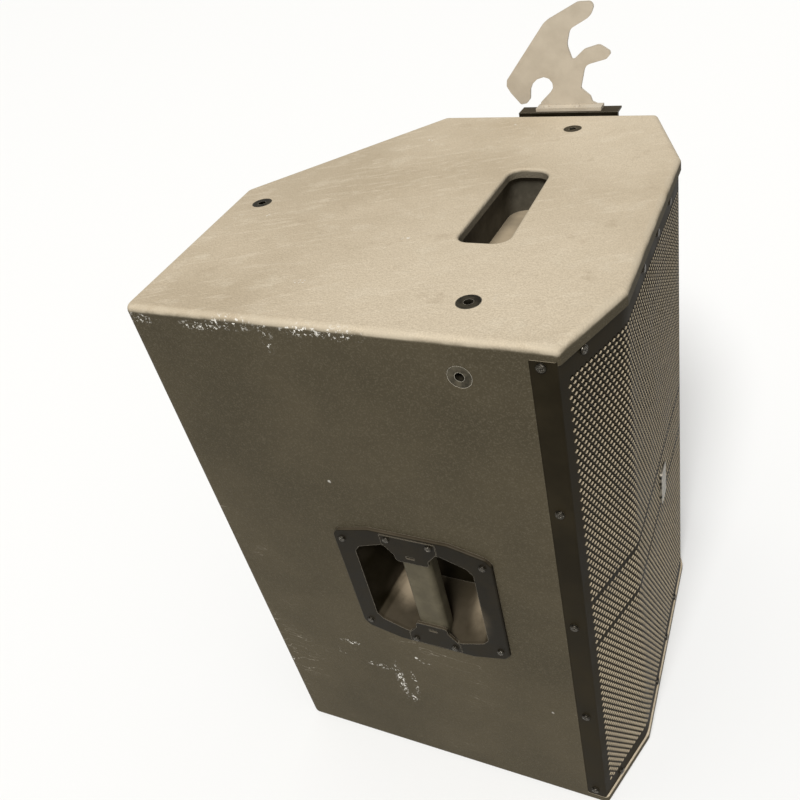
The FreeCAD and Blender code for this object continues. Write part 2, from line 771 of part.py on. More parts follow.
handle_cutout = bowl(handle_wall + fit_gap, handle_depth + handle_wall + fit_gap)
near_panel = near_panel.cut(at_handle(handle_cutout))
near_panel = cut_all(near_panel, [at_handle(hole) for hole in handle_holes])
near_panel = drilled(near_panel, insert_spots[3:4], insert_hole)
near_panel = cut_all(near_panel, grille_holes)
save("near_side_panel", near_panel)

# ================================================================ rigging inserts
thread_hole = cylinder(m10_minor_radius, -insert_length - 1, 2)
insert = cylinder(insert_flange_radius, -insert_flange_height, 0).fuse(
    cylinder(insert_body_radius, -insert_length, 0)).cut(thread_hole)
save("rigging_inserts", Part.makeCompound([place(insert, *where) for place, where in insert_spots]))

far_panel = drilled(far_panel, insert_spots[4:], insert_hole)
far_panel = cut_all(far_panel, grille_holes)
save("far_side_panel", far_panel)

# ================================================================ hook plate on the far side
def hook_outline():
    """The plate above the cabinet, as (place along the far side, height above the top, corner radius)."""
    rise = hook_foot_rise
    return [
        (hook_foot_start, rise, 0.0), (-36.6, 10.9, 3.0), (-23.3, 22.9, 3.0), (-19.2, 28.5, 3.0),
        (-19.6, 34.5, 3.0), (-23.5, 40.0, 3.0), (-30.2, 42.2, 3.0), (-39.3, 39.6, 3.0), (-46.3, 33.6, 3.0),
        (-49.4, 27.3, 3.0), (-51.0, 15.0, 3.0), (-56.0, 9.5, 3.0), (-64.0, 8.0, 3.0), (-76.1, 23.0, 6.0),
        (-81.0, 32.0, 4.0), (-79.6, 40.0, 6.0),
        (-22.0, 109.0, 30.0), (20.0, 128.5, 14.0), (42.0, 128.0, 6.0), (34.0, 111.0, 16.0),
        (8.0, 98.0, 12.0), (3.0, 80.0, 16.0), (8.5, 61.0, 2.5), (24.0, 74.0, 12.0),
        (43.0, 79.0, 8.0), (58.0, 69.0, 4.0), (51.0, 61.5, 6.0), (24.0, 55.0, 12.0),
        (16.5, 27.0, 4.0), (28.0, 17.0, 3.0), (30.0, 10.0, 2.0), (hook_foot_end, rise, 0.0)]


def at_far_top(shape, out=0.0):
    """Local X back along the far side from the hook's middle, Y up from the cabinet's top, Z outwards."""
    return on_face(moved(shape, 0, 0, out), plan(hook_centre_x, cabinet_width, cabinet_height), 90.0)


hook_points = hook_outline()
hook_plate_near = hook_reach - hook_thickness
hook = prism([(-x, y) for x, y, radius in hook_points], hook_plate_near, hook_reach,
             [radius for x, y, radius in hook_points])
hook_foot = box(-hook_foot_end, -hook_foot_start, hook_foot_rise, hook_foot_rise + hook_thickness,
                bracket_thickness, hook_reach)
hook = hook.fuse(hook_foot).removeSplitter()
hook_bolt_y = -side_insert_drop
hook_bolt_spots = [(hook_centre_x - x, hook_bolt_y) for x in hook_bolt_places]
bracket_flange_low = hook_foot_rise - bracket_flange_thickness
bracket = box(-bracket_end, -bracket_start, -bracket_drop, hook_foot_rise, 0.0, bracket_thickness)
bracket = bracket.fuse(box(-bracket_end, -bracket_start, bracket_flange_low, hook_foot_rise, 0.0, hook_reach))
bracket = cut_all(bracket.removeSplitter(), [cylinder(m10_radius + 0.5, -1, 30, *p) for p in hook_bolt_spots])

rivet_out = (bracket_thickness + hook_plate_near) / 2
rivet_top = hook_foot_rise + hook_thickness


def standing(shape, along):
    """A shape built about Z, set upright over the bracket's flange."""
    copy = shape.copy()
    copy.rotate(V(0, 0, 0), V(1, 0, 0), -90)
    return moved(copy, -along, 0, rivet_out)


rivet_hole = cylinder(rivet_shank_radius + rivet_hole_clearance, bracket_flange_low - 1, rivet_top + 1)
rivet_holes = [standing(rivet_hole, x) for x in hook_rivet_places]
rivet_head = revolved([(0, 0), (rivet_head_radius, 0), (rivet_head_radius * 0.85, rivet_head_height * 0.6),
                       (rivet_head_radius * 0.45, rivet_head_height), (0, rivet_head_height)])
rivet_tail = cylinder(rivet_head_radius, bracket_flange_low - rivet_head_height, bracket_flange_low)
rivet = cylinder(rivet_shank_radius, bracket_flange_low, rivet_top).fuse(
    [moved(rivet_head, 0, 0, rivet_top), rivet_tail]).removeSplitter()
save("hook_plate", at_far_top(cut_all(hook, rivet_holes)))
save("hook_bracket", at_far_top(cut_all(bracket, rivet_holes)))
save("hook_rivets", Part.makeCompound([at_far_top(standing(rivet, x)) for x in hook_rivet_places]))

hex_reach = 5.0
socket_recess = prism([(hex_reach * math.cos(radians(60 * i)), hex_reach * math.sin(radians(60 * i)))
                       for i in range(6)], m10_head_height - 3.5, m10_head_height + 1)
hook_bolt = cylinder(m10_head_radius, 0.0, m10_head_height).cut(socket_recess).fuse(
    cylinder(m10_minor_radius, -insert_length + 1, 0))
save("hook_bolts", Part.makeCompound(
    [at_far_top(moved(hook_bolt, x, y, 0), bracket_thickness) for x, y in hook_bolt_spots]))

# ================================================================ rear panel and its connector plate
connector_along = rear_length / 2.0
connector_screw_inset = 8.0
connector_outline = rectangle(connector_plate_width, connector_plate_height)
socket_places = [(0.0, socket_pitch / 2), (0.0, -socket_pitch / 2)]


def at_rear(shape, out=0.0):
    return on_face(moved(shape, connector_along, connector_centre_z, out), *rear_face)


connector_recess = prism(rectangle(connector_plate_width + 2 * fit_gap, connector_plate_height + 2 * fit_gap),
                         -connector_plate_thickness, 2, 5.0 + fit_gap)
connector_window = prism(rectangle(connector_plate_width - connector_window_margins[0],
                                   connector_plate_height - connector_window_margins[1]),
                         -panel_thickness - 2, 2, 8.0)
connector_plate = prism(connector_outline, -connector_plate_thickness, 0.0, 5.0)
connector_plate = cut_all(connector_plate, [cylinder(socket_radius + 0.2, -5, 5, *p) for p in socket_places])
connector_screw = pan_screw(*connector_screw_size)
connector_screw_spots = rectangle(connector_plate_width - 2 * connector_screw_inset,
                                  connector_plate_height - 2 * connector_screw_inset)
connector_screw_holes = [moved(screw_hole(connector_screw_size), x, y, 0) for x, y in connector_screw_spots]
save("connector_plate", at_rear(cut_all(connector_plate, connector_screw_holes)))
save("connector_screws", at_rear(Part.makeCompound(
    [moved(connector_screw, x, y, 0) for x, y in connector_screw_spots])))

socket_flange = prism(rectangle(socket_flange_width, socket_flange_height), 0.0, socket_flange_thickness, 4.0)
socket_body = cylinder(socket_radius, -socket_body_length, 0.0)
socket_shell = socket_flange.fuse(socket_body).cut(cylinder(socket_bore + 1.6, -socket_depth, 5))
socket_core = cylinder(socket_core_radius, -socket_depth - 0.01, -8.0).cut(cylinder(2.0, -14, 5))
contact = box(-1.4, 1.4, 4.0, 4.8, -socket_body_length - 6.0, -socket_body_length)
socket_contacts = [turned(contact, 90 * i) for i in range(4)]
speaker_socket = socket_shell.fuse([socket_core] + socket_contacts).removeSplitter()
speaker_sockets = [moved(speaker_socket, x, y, 0) for x, y in socket_places]
save("speaker_sockets", at_rear(Part.makeCompound(speaker_sockets)))

rear_panel = cut_all(rear_panel, [at_rear(t) for t in [connector_recess, connector_window]
                                  + connector_screw_holes])
save("rear_panel", rear_panel)

# ================================================================ floor panel and its feet
foot_spots = [(u, z) for u in (foot_inset, floor_length - foot_inset)
              for z in (foot_height_inset, cabinet_height - foot_height_inset)]


def at_floor(shape, along, height, out=0.0):
    return on_face(moved(shape, along, height, out), *floor_face)


foot = Part.makeCone(foot_radius, foot_radius - 3.0, foot_height)
foot_edge = [e for e in foot.Edges if abs(e.BoundBox.ZMin - foot_height) < 1e-6]
foot = foot.makeFillet(1.5, foot_edge)
foot_bore = foot_height - 5.5
foot_hole = moved(screw_hole(foot_screw_size), 0, 0, foot_bore)
foot = foot.cut(cylinder(foot_screw_size[0] + 1.0, foot_bore, foot_height + 1)).cut(foot_hole)
foot_screw = moved(pan_screw(*foot_screw_size), 0, 0, foot_bore)
save("rubber_feet", Part.makeCompound([at_floor(foot, u, z) for u, z in foot_spots]))
save("foot_screws", Part.makeCompound([at_floor(foot_screw, u, z) for u, z in foot_spots]))
save("floor_panel", cut_all(floor_panel, [at_floor(foot_hole, u, z) for u, z in foot_spots]))

# ================================================================ baffle, cleats and brace
inside_near_y = plan(0, panel_thickness).y
inside_far_y = plan(0, cabinet_width - panel_thickness).y
baffle_back = baffle_front - baffle_thickness
horn_screw_spots = [(y, z) for z in (-horn_flange_height / 2 + 9, horn_flange_height / 2 - 9)
                    for y in (-horn_flange_width / 2 + 9, 0.0, horn_flange_width / 2 - 9)]
port_spots = [(inside_near_y - panel_thickness + port_edge_distance, horn_axis_z),
              (inside_far_y + panel_thickness - port_edge_distance, horn_axis_z)]
baffle = box(baffle_back, baffle_front, inside_near_y, inside_far_y, inside_bottom, inside_top)
baffle = baffle.cut(facing_front(cylinder(woofer_cutout_radius, -40, 40), axis_y, woofer_axis_z))
horn_cutout = prism(rectangle(horn_mouth_width + 2 * horn_wall + 6, horn_mouth_height + 2 * horn_wall + 6),
                    -40, 40, 16.0 + horn_wall)
baffle = baffle.cut(facing_front(horn_cutout, axis_y, horn_axis_z))
for y, z in port_spots:
    baffle = baffle.cut(facing_front(cylinder(port_radius + port_wall + fit_gap, -40, 40), y, z))
woofer_bolt_angles = [360.0 / woofer_bolt_count * (i + 0.5) for i in range(woofer_bolt_count)]
woofer_bolt_holes = [turned(cylinder(woofer_bolt_size[2] + screw_clearance, -30, 20, woofer_bolt_circle), a)
                     for a in woofer_bolt_angles]
horn_screw_hole = cylinder(horn_screw_size[2] + screw_clearance, -16, 10)
horn_screw_holes = [moved(horn_screw_hole, y, z, 0) for y, z in horn_screw_spots]
baffle = cut_all(baffle, [facing_front(t, axis_y, woofer_axis_z) for t in woofer_bolt_holes])
baffle = cut_all(baffle, [facing_front(t, axis_y, horn_axis_z) for t in horn_screw_holes])
save("baffle", baffle)

cleat_back = baffle_back - cleat_size
cleats = [
    box(cleat_back, baffle_back, inside_near_y, inside_near_y + cleat_size, inside_bottom + cleat_size,
        inside_top - cleat_size),
    box(cleat_back, baffle_back, inside_far_y - cleat_size, inside_far_y, inside_bottom + cleat_size,
        inside_top - cleat_size),
    box(cleat_back, baffle_back, inside_near_y, inside_far_y, inside_bottom, inside_bottom + cleat_size),
    box(cleat_back, baffle_back, inside_near_y, inside_far_y, inside_top - cleat_size, inside_top)]
for y, z in port_spots:
    notch = facing_front(cylinder(port_radius + port_wall + fit_gap, -80, 0), y, z)
    cleats = [cleat.cut(notch) for cleat in cleats]
save("baffle_cleats", Part.makeCompound(cleats))
brace_front = baffle_back - brace_from_baffle
brace_height = horn_axis_z - compression_radius - brace_below_driver
brace = box(brace_front - brace_depth, brace_front, inside_near_y, inside_far_y, brace_height,
            brace_height + brace_thickness)
brace_middle = brace_front - brace_depth / 2
brace_window_depth = brace_depth - 2 * brace_window_margin
for y in (axis_y - brace_window_pitch, axis_y, axis_y + brace_window_pitch):
    window = prism(rectangle(brace_window_depth, brace_window_length, brace_middle, y), 0, cabinet_height,
                   brace_window_corner)
    brace = brace.cut(window)
save("cross_brace", brace)

port_tube = revolved([
    (port_radius, -port_length), (port_radius + port_wall, -port_length), (port_radius + port_wall, 0),
    (port_flange_radius, 0), (port_flange_radius, port_flange_height),
    (port_radius + 3.5, port_flange_height), (port_radius, -6.0)])
save("port_tubes", Part.makeCompound([facing_front(port_tube, y, z) for y, z in port_spots]))

# ================================================================ woofer, Z forward from the baffle
flange_top = woofer_flange_height
spider_z = -spider_depth
top_plate_front = -motor_front
top_plate_back = top_plate_front - motor_plate_height
magnet_back = top_plate_back - magnet_height
motor_back = magnet_back - motor_plate_height
cone_apex = flange_top - cone_depth
cone_slope = cone_depth / (cone_edge_radius - former_radius)
roll_start = cone_edge_radius + 1.0
roll_end = basket_seat_radius
roll_centre = (roll_start + roll_end) / 2.0
roll_radius = (roll_end - roll_start) / 2.0


def at_woofer(shape):
    return facing_front(shape, axis_y, woofer_axis_z)


def cone_height(radius):
    """Height of the cone's front surface at a radius."""
    return cone_apex + (radius - former_radius) * cone_slope


basket = revolved([
    (woofer_flange_radius, 0), (woofer_flange_radius, flange_top), (basket_seat_radius, flange_top),
    (basket_seat_radius - 1, 2), (spider_radius + 5, spider_z + 2), (spider_radius - 10, spider_z + 2),
    (spider_radius - 10, spider_z - 18), (60, top_plate_front + 6), (60, top_plate_front),
    (spider_radius - 6, top_plate_front), (spider_radius + 12, spider_z - 2),
    (woofer_cutout_radius - 8, -3), (woofer_cutout_radius - 4, 0)])
window_angle = 30.0
window = revolved([(spider_radius + 14, spider_z + 20), (basket_seat_radius - 8, -12),
                   (basket_seat_radius + 12, -30), (spider_radius + 40, spider_z)], window_angle)
for i in range(woofer_bolt_count):
    basket = basket.cut(turned(window, 360.0 / woofer_bolt_count * i - window_angle / 2))
basket = cut_all(basket, woofer_bolt_holes)
save("woofer_basket", at_woofer(basket))

gasket = revolved([
    (woofer_cutout_radius, flange_top), (woofer_flange_radius, flange_top),
    (woofer_flange_radius, flange_top + gasket_height - 1),
    (woofer_flange_radius - 1, flange_top + gasket_height),
    (woofer_cutout_radius, flange_top + gasket_height)])
save("woofer_gasket", at_woofer(cut_all(gasket, woofer_bolt_holes)))

woofer_bolt = pan_screw(*woofer_bolt_size)
save("woofer_bolts", at_woofer(Part.makeCompound(
    [turned(moved(woofer_bolt, woofer_bolt_circle, 0, flange_top + gasket_height), a)
     for a in woofer_bolt_angles])))


def roll_profile():
    """A half-roll with a flat lip each side, as a closed outline of arcs and lines."""
    t = surround_thickness
    z = flange_top
    inner_lip = cone_edge_radius - 9.0
    outer_lip = woofer_cutout_radius - glue_line
    outer_roll = roll_radius
    inner_roll = roll_radius - t
    p = [V(inner_lip, 0, z), V(inner_lip, 0, z + t), V(roll_centre - outer_roll, 0, z + t),
         V(roll_centre + outer_roll, 0, z + t), V(outer_lip, 0, z + t), V(outer_lip, 0, z),
         V(roll_centre + inner_roll, 0, z), V(roll_centre - inner_roll, 0, z)]
    crown = V(roll_centre, 0, z + t + roll_height)
    hollow = V(roll_centre, 0, z + roll_height)
    edges = [Part.LineSegment(p[0], p[1]), Part.LineSegment(p[1], p[2]), Part.Arc(p[2], crown, p[3]),
             Part.LineSegment(p[3], p[4]), Part.LineSegment(p[4], p[5]), Part.LineSegment(p[5], p[6]),
             Part.Arc(p[6], hollow, p[7]), Part.LineSegment(p[7], p[0])]
    return Part.Face(Part.Wire([e.toShape() for e in edges]))


surround = roll_profile().revolve(V(0, 0, 0), V(0, 0, 1), 360)
save("woofer_surround", at_woofer(surround))

cone_back = cone_thickness * math.sqrt(1 + cone_slope ** 2)
cone_lip = cone_edge_radius - 9.0
cone = revolved([
    (former_radius, cone_apex), (cone_lip - 1.0, cone_height(cone_lip - 1.0)), (cone_lip, flange_top),
    (cone_edge_radius, flange_top),
    (cone_edge_radius, flange_top - cone_thickness), (cone_lip + 1.0, cone_height(cone_lip) - cone_back),
    (former_radius, cone_apex - cone_back)])
save("woofer_cone", at_woofer(cone))

dust_cap_radius = former_radius + 16.0
dust_cap_rise = 17.0
dust_cap_wall = 1.2
cap_low = cone_height(dust_cap_radius)
cap_inner_radius = dust_cap_radius - dust_cap_wall / cone_slope * 1.6
cap_inner_low = cone_height(cap_inner_radius)
cap_outer_edge = V(dust_cap_radius, 0, cap_low)
cap_inner_edge = V(cap_inner_radius, 0, cap_inner_low)
cap_outer_top = V(0, 0, cap_low + dust_cap_rise)
cap_inner_top = V(0, 0, cap_low + dust_cap_rise - dust_cap_wall)


def dome_arc(edge, top):
    """Quarter section of a shallow dome, from its rim to the axis."""
    sag = top.z - edge.z
    radius = (edge.x ** 2 + sag ** 2) / (2.0 * sag)
    half = math.asin(edge.x / radius) / 2.0
    via = V(radius * math.sin(half), 0, top.z - radius + radius * math.cos(half))
    return Part.Arc(edge, via, top).toShape()


dust_cap = Part.Face(Part.Wire([
    dome_arc(cap_outer_edge, cap_outer_top), Part.LineSegment(cap_outer_top, cap_inner_top).toShape(),
    dome_arc(cap_inner_edge, cap_inner_top), Part.LineSegment(cap_inner_edge, cap_outer_edge).toShape()]))
save("woofer_dust_cap", at_woofer(dust_cap.revolve(V(0, 0, 0), V(0, 0, 1), 360)))

coil_end = top_plate_back - (winding_length - motor_plate_height) / 2.0
former_inside = former_radius - former_wall
voice_coil = revolved([
    (former_inside, coil_end), (former_radius + winding_height, coil_end),
    (former_radius + winding_height, coil_end + winding_length), (former_radius, coil_end + winding_length),
    (former_radius, cone_apex), (former_inside, cone_apex)])
save("woofer_voice_coil", at_woofer(voice_coil))


def spider_profile():
    """Corrugated disc section: waves of equal pitch between two flat lips."""
    t = 1.0
    waves = 5
    wave_height = 3.0
    start = former_radius + glue_line + 6.0
    end = spider_radius - 10.0
    pitch = (end - start) / (2 * waves)
    upper = [V(former_radius + glue_line, 0, spider_z + 2 + t), V(start, 0, spider_z + 2 + t)]
    for i in range(1, 2 * waves):
        side = wave_height if i % 2 else -wave_height
        upper.append(V(start + pitch * i, 0, spider_z + 2 + t + side))
    upper += [V(end, 0, spider_z + 2 + t), V(spider_radius, 0, spider_z + 2 + t)]
    lower = [V(p.x, 0, p.z - t) for p in reversed(upper)]
    return Part.Face(Part.makePolygon(upper + lower + [upper[0]]))


spider = spider_profile().revolve(V(0, 0, 0), V(0, 0, 1), 360)
save("woofer_spider", at_woofer(spider))

top_plate = revolved([
    (gap_outer_radius, top_plate_back), (magnet_radius - 5, top_plate_back),
    (magnet_radius - 5, top_plate_front), (gap_outer_radius, top_plate_front)])
save("woofer_top_plate", at_woofer(top_plate))
magnet = revolved([
    (gap_outer_radius + 10, magnet_back), (magnet_radius, magnet_back), (magnet_radius, top_plate_back),
    (gap_outer_radius + 10, top_plate_back)])
save("woofer_magnet", at_woofer(magnet))
vent_radius = 12.0
back_plate = revolved([
    (vent_radius, motor_back), (magnet_radius - 10, motor_back), (magnet_radius - 8, motor_back + 2),
    (magnet_radius - 8, magnet_back), (pole_radius, magnet_back), (pole_radius, top_plate_front),
    (vent_radius, top_plate_front)])
save("woofer_back_plate", at_woofer(back_plate))
terminal_block = box(spider_radius + 13, spider_radius + 21, -14, 14, spider_z - 6, spider_z + 8)
terminal_tabs = [box(spider_radius + 21, spider_radius + 30, y - 3, y + 3, spider_z, spider_z + 0.8)
                 for y in (-7.0, 7.0)]
terminal = terminal_block.cut(revolved([
    (0, spider_z - 30), (spider_radius + 12 + 0.8, spider_z - 30), (spider_radius + 12 + 0.8, spider_z - 2),
    (woofer_cutout_radius - 7.2, -3), (0, -3)]))
terminal = terminal.fuse(terminal_tabs).removeSplitter()
save("woofer_terminals", at_woofer(turned(terminal, 180.0)))

# ================================================================ horn and compression driver
def at_horn(shape):
    return facing_front(shape, axis_y, horn_axis_z)


horn_sections = [
    (-horn_depth, horn_throat, horn_throat, horn_throat / 2 - 0.2), (-horn_depth * 0.62, 92.0, 58.0, 20.0),
    (-horn_depth * 0.28, 172.0, 106.0, 20.0), (0.0, horn_mouth_width, horn_mouth_height, 16.0)]


def horn_solid(grow):
    wires = [rounded_wire(rectangle(w + 2 * grow, h + 2 * grow), r + grow, z) for z, w, h, r in horn_sections]
    return Part.makeLoft(wires, True, True)


horn_flange = prism(rectangle(horn_flange_width, horn_flange_height), 0.0, horn_flange_thickness, 12.0)
horn_flange = horn_flange.cut(prism(rectangle(horn_mouth_width, horn_mouth_height), -1, 20, 16.0))
throat_collar = cylinder(compression_radius - 14, -horn_depth, -horn_depth + 9)
horn = horn_solid(horn_wall).fuse([horn_flange, throat_collar]).cut(horn_solid(0.0))
horn = cut_all(horn, horn_screw_holes)
save("horn", at_horn(horn))
horn_screw = pan_screw(*horn_screw_size)
save("horn_screws", at_horn(Part.makeCompound(
    [moved(horn_screw, y, z, horn_flange_thickness) for y, z in horn_screw_spots])))

driver_front = -horn_depth
driver_plate = 9.0
driver_magnet_height = 18.0
driver_gap_z = driver_front - driver_plate - driver_magnet_height
coil_inner = diaphragm_radius - 0.6
exit_radius = horn_throat / 2
pole_face = driver_gap_z - driver_plate
driver_yoke = revolved([
    (exit_radius, driver_front), (compression_radius - 5, driver_front),
    (compression_radius - 5, driver_front - driver_plate),
    (diaphragm_radius - 3, driver_front - driver_plate),
    (diaphragm_radius - 3, pole_face), (exit_radius + 4, pole_face)])
save("driver_yoke", at_horn(driver_yoke))
driver_magnet = revolved([
    (diaphragm_radius + 9, driver_gap_z), (compression_radius, driver_gap_z),
    (compression_radius, driver_front - driver_plate), (diaphragm_radius + 9, driver_front - driver_plate)])
save("driver_magnet", at_horn(driver_magnet))
driver_top_plate = revolved([
    (diaphragm_radius + 1.4, pole_face), (compression_radius - 5, pole_face),
    (compression_radius - 5, driver_gap_z), (diaphragm_radius + 1.4, driver_gap_z)])
save("driver_top_plate", at_horn(driver_top_plate))
plug_rise = 7.0
phase_plug = Part.Face(Part.Wire([
    Part.LineSegment(V(0, 0, driver_front - 8), V(exit_radius - 1.5, 0, pole_face + 6)).toShape(),
    Part.LineSegment(V(exit_radius - 1.5, 0, pole_face + 6), V(exit_radius + 3.5, 0, pole_face)).toShape(),
    Part.LineSegment(V(exit_radius + 3.5, 0, pole_face), V(diaphragm_radius - 4, 0, pole_face)).toShape(),
    dome_arc(V(diaphragm_radius - 4, 0, -pole_face), V(0, 0, plug_rise - pole_face)).mirror(
        V(0, 0, 0), V(0, 0, 1)),
    Part.LineSegment(V(0, 0, pole_face - plug_rise), V(0, 0, driver_front - 8)).toShape()]))
save("driver_phase_plug", at_horn(phase_plug.revolve(V(0, 0, 0), V(0, 0, 1), 360)))
dome_back = pole_face - diaphragm_gap
dome_rise = plug_rise + 1.0
dome_wall = 0.4
dome = Part.Face(Part.Wire([
    Part.LineSegment(V(coil_inner, 0, dome_back), V(diaphragm_radius, 0, dome_back)).toShape(),
    dome_arc(V(diaphragm_radius, 0, -dome_back), V(0, 0, dome_rise + dome_wall - dome_back)).mirror(
        V(0, 0, 0), V(0, 0, 1)),
    Part.LineSegment(V(0, 0, dome_back - dome_rise - dome_wall), V(0, 0, dome_back - dome_rise)).toShape(),
    dome_arc(V(coil_inner, 0, -dome_back), V(0, 0, dome_rise - dome_back)).mirror(V(0, 0, 0), V(0, 0, 1))]))
dome = dome.revolve(V(0, 0, 0), V(0, 0, 1), 360)
dome_coil = revolved([
    (coil_inner, dome_back - 0.01), (diaphragm_radius, dome_back - 0.01),
    (diaphragm_radius, driver_gap_z + 1.5), (coil_inner, driver_gap_z + 1.5)])
save("driver_diaphragm", at_horn(dome.fuse(dome_coil)))
clamp_ring = revolved([
    (diaphragm_radius + 4, pole_face), (compression_radius - 10, pole_face),
    (compression_radius - 10, pole_face - 4), (diaphragm_radius + 4, pole_face - 4)])
save("driver_clamp_ring", at_horn(clamp_ring))
cover_depth = 30.0
cover_wall = 2.5
cover = revolved([
    (compression_radius - 5, pole_face), (compression_radius - 5, pole_face - cover_depth + 6),
    (compression_radius - 12, pole_face - cover_depth), (0, pole_face - cover_depth),
    (0, pole_face - cover_depth + cover_wall),
    (compression_radius - 14, pole_face - cover_depth + cover_wall),
    (compression_radius - 5 - cover_wall, pole_face - cover_depth + 9),
    (compression_radius - 5 - cover_wall, pole_face)])
save("driver_cover", at_horn(cover))

# ================================================================ crossover on the bottom panel
board_centre = (plan(board_from_rear, 0).x, plan(0, board_from_near).y)
board_z = inside_bottom + board_rise
board_top = board_z + board_thickness
board_posts = rectangle(board_width - 12, board_length - 12, *board_centre)
board = prism(rectangle(board_width, board_length, *board_centre), board_z, board_top, 3.0)
post_bore = crossover_screw_size[2] + screw_clearance
board = cut_all(board, [cylinder(post_bore, 0, board_top + 1, x, y) for x, y in board_posts])
save("crossover_board", board)
post = cylinder(post_radius, inside_bottom, board_z).cut(cylinder(post_bore, inside_bottom + 1, board_z + 1))
save("crossover_posts", Part.makeCompound([moved(post, x, y, 0) for x, y in board_posts]))
post_screw = pan_screw(*crossover_screw_size)
save("crossover_screws", Part.makeCompound([moved(post_screw, x, y, board_top) for x, y in board_posts]))


def on_board(shape, dx, dy, lift=0.0):
    return moved(shape, board_centre[0] + dx, board_centre[1] + dy, board_top + lift)


def winding(outer_radius, inner_radius, height):
    return cylinder(outer_radius, 0, height).cut(cylinder(inner_radius, -1, height + 1))


coils = [on_board(winding(*size[:3]), *size[3:]) for size in coil_sizes]
save("crossover_coils", Part.makeCompound(coils))
capacitor = cylinder(capacitor_radius, 0, capacitor_length)
capacitor.rotate(V(0, 0, 0), V(1, 0, 0), 90)
save("crossover_capacitors", Part.makeCompound(
    [on_board(capacitor, x, y, capacitor_radius) for x, y in capacitor_places]))
resistor = prism(rectangle(resistor_width, resistor_length), 0.0, resistor_width, 1.0)
save("crossover_resistors", Part.makeCompound([on_board(resistor, x, y) for x, y in resistor_places]))

# ================================================================ wadding inside the rear walls
wadding_bottom = connector_centre_z + connector_plate_height / 2 + wadding_above_connector
wadding_top = inside_top - wadding_below_top
wadding = []
for wall, length in ((rear_face, rear_length), (floor_face, floor_length)):
    sheet_solid = box(wadding_margin, length - wadding_margin, wadding_bottom, wadding_top,
                      -panel_thickness - wadding_thickness, -panel_thickness)
    edges = [e for e in sheet_solid.Edges if e.BoundBox.ZLength > wadding_thickness - 1]
    wadding.append(on_face(sheet_solid.makeFillet(wadding_corner, edges), *wall))
save("acoustic_wadding", Part.makeCompound(wadding))
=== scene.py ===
import bisect
import math

import bmesh
import bpy
from mathutils import Matrix, Vector, noise


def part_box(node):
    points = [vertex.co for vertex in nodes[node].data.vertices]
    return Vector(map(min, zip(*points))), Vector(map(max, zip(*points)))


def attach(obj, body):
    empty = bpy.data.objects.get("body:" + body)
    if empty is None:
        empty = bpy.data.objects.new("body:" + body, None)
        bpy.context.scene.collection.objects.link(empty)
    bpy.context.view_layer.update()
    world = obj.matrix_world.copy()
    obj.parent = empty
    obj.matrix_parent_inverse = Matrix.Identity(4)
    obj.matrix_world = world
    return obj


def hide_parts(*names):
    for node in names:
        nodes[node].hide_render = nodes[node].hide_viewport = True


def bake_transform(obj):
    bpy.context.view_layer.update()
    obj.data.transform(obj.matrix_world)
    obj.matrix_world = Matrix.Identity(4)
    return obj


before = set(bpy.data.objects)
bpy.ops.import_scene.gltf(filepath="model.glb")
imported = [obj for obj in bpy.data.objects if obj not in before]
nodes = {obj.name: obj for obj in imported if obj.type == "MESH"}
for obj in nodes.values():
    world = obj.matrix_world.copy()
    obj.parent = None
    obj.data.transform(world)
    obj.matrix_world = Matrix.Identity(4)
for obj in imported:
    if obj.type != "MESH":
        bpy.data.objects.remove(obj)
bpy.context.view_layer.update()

MM = 0.001

# ---------------------------------------------------------------- folded and perforated grille
chamfer_lean = math.radians(20.0)
near_chamfer = 87.35 * MM
far_chamfer = 130.35 * MM
near_flange_reach = 21.0 * MM
sheet_thickness = 1.5 * MM
flange_radius = 2.5 * MM
face_radius = 50.0 * MM
hole_radius = 2.38 * MM
hole_sides = 8
hole_pitch = 6.35 * MM
row_pitch = 5.5 * MM
row_count = 108
plain_rows = (47, 59)
column_count = 75
column_splits = (0, 25, 50, 75)

# ---------------------------------------------------------------- soft linings
foam_depth = 7.0 * MM
foam_dimple = 0.5 * MM
foam_step = 6.0 * MM
wadding_depth = 21.0 * MM
wadding_edge = 7.0 * MM
wadding_step = 8.0 * MM
staple_pitch = 92.0 * MM
staple_reach = 17.0 * MM
wadding_headings = (189.0, 146.5)
wadding_parting = -10.0 * MM

# ---------------------------------------------------------------- woofer suspension
sector_count = 12
sector_steps = 5
cloth_thickness = 1.2 * MM
surround_inner = 138.0 * MM
roll_inner = 148.0 * MM
roll_outer = 164.0 * MM
spider_inner = 38.3 * MM
spider_waves = (44.3 * MM, 88.0 * MM)
spider_wave_count = 5
spider_outer = 98.0 * MM
spider_thickness = 1.0 * MM


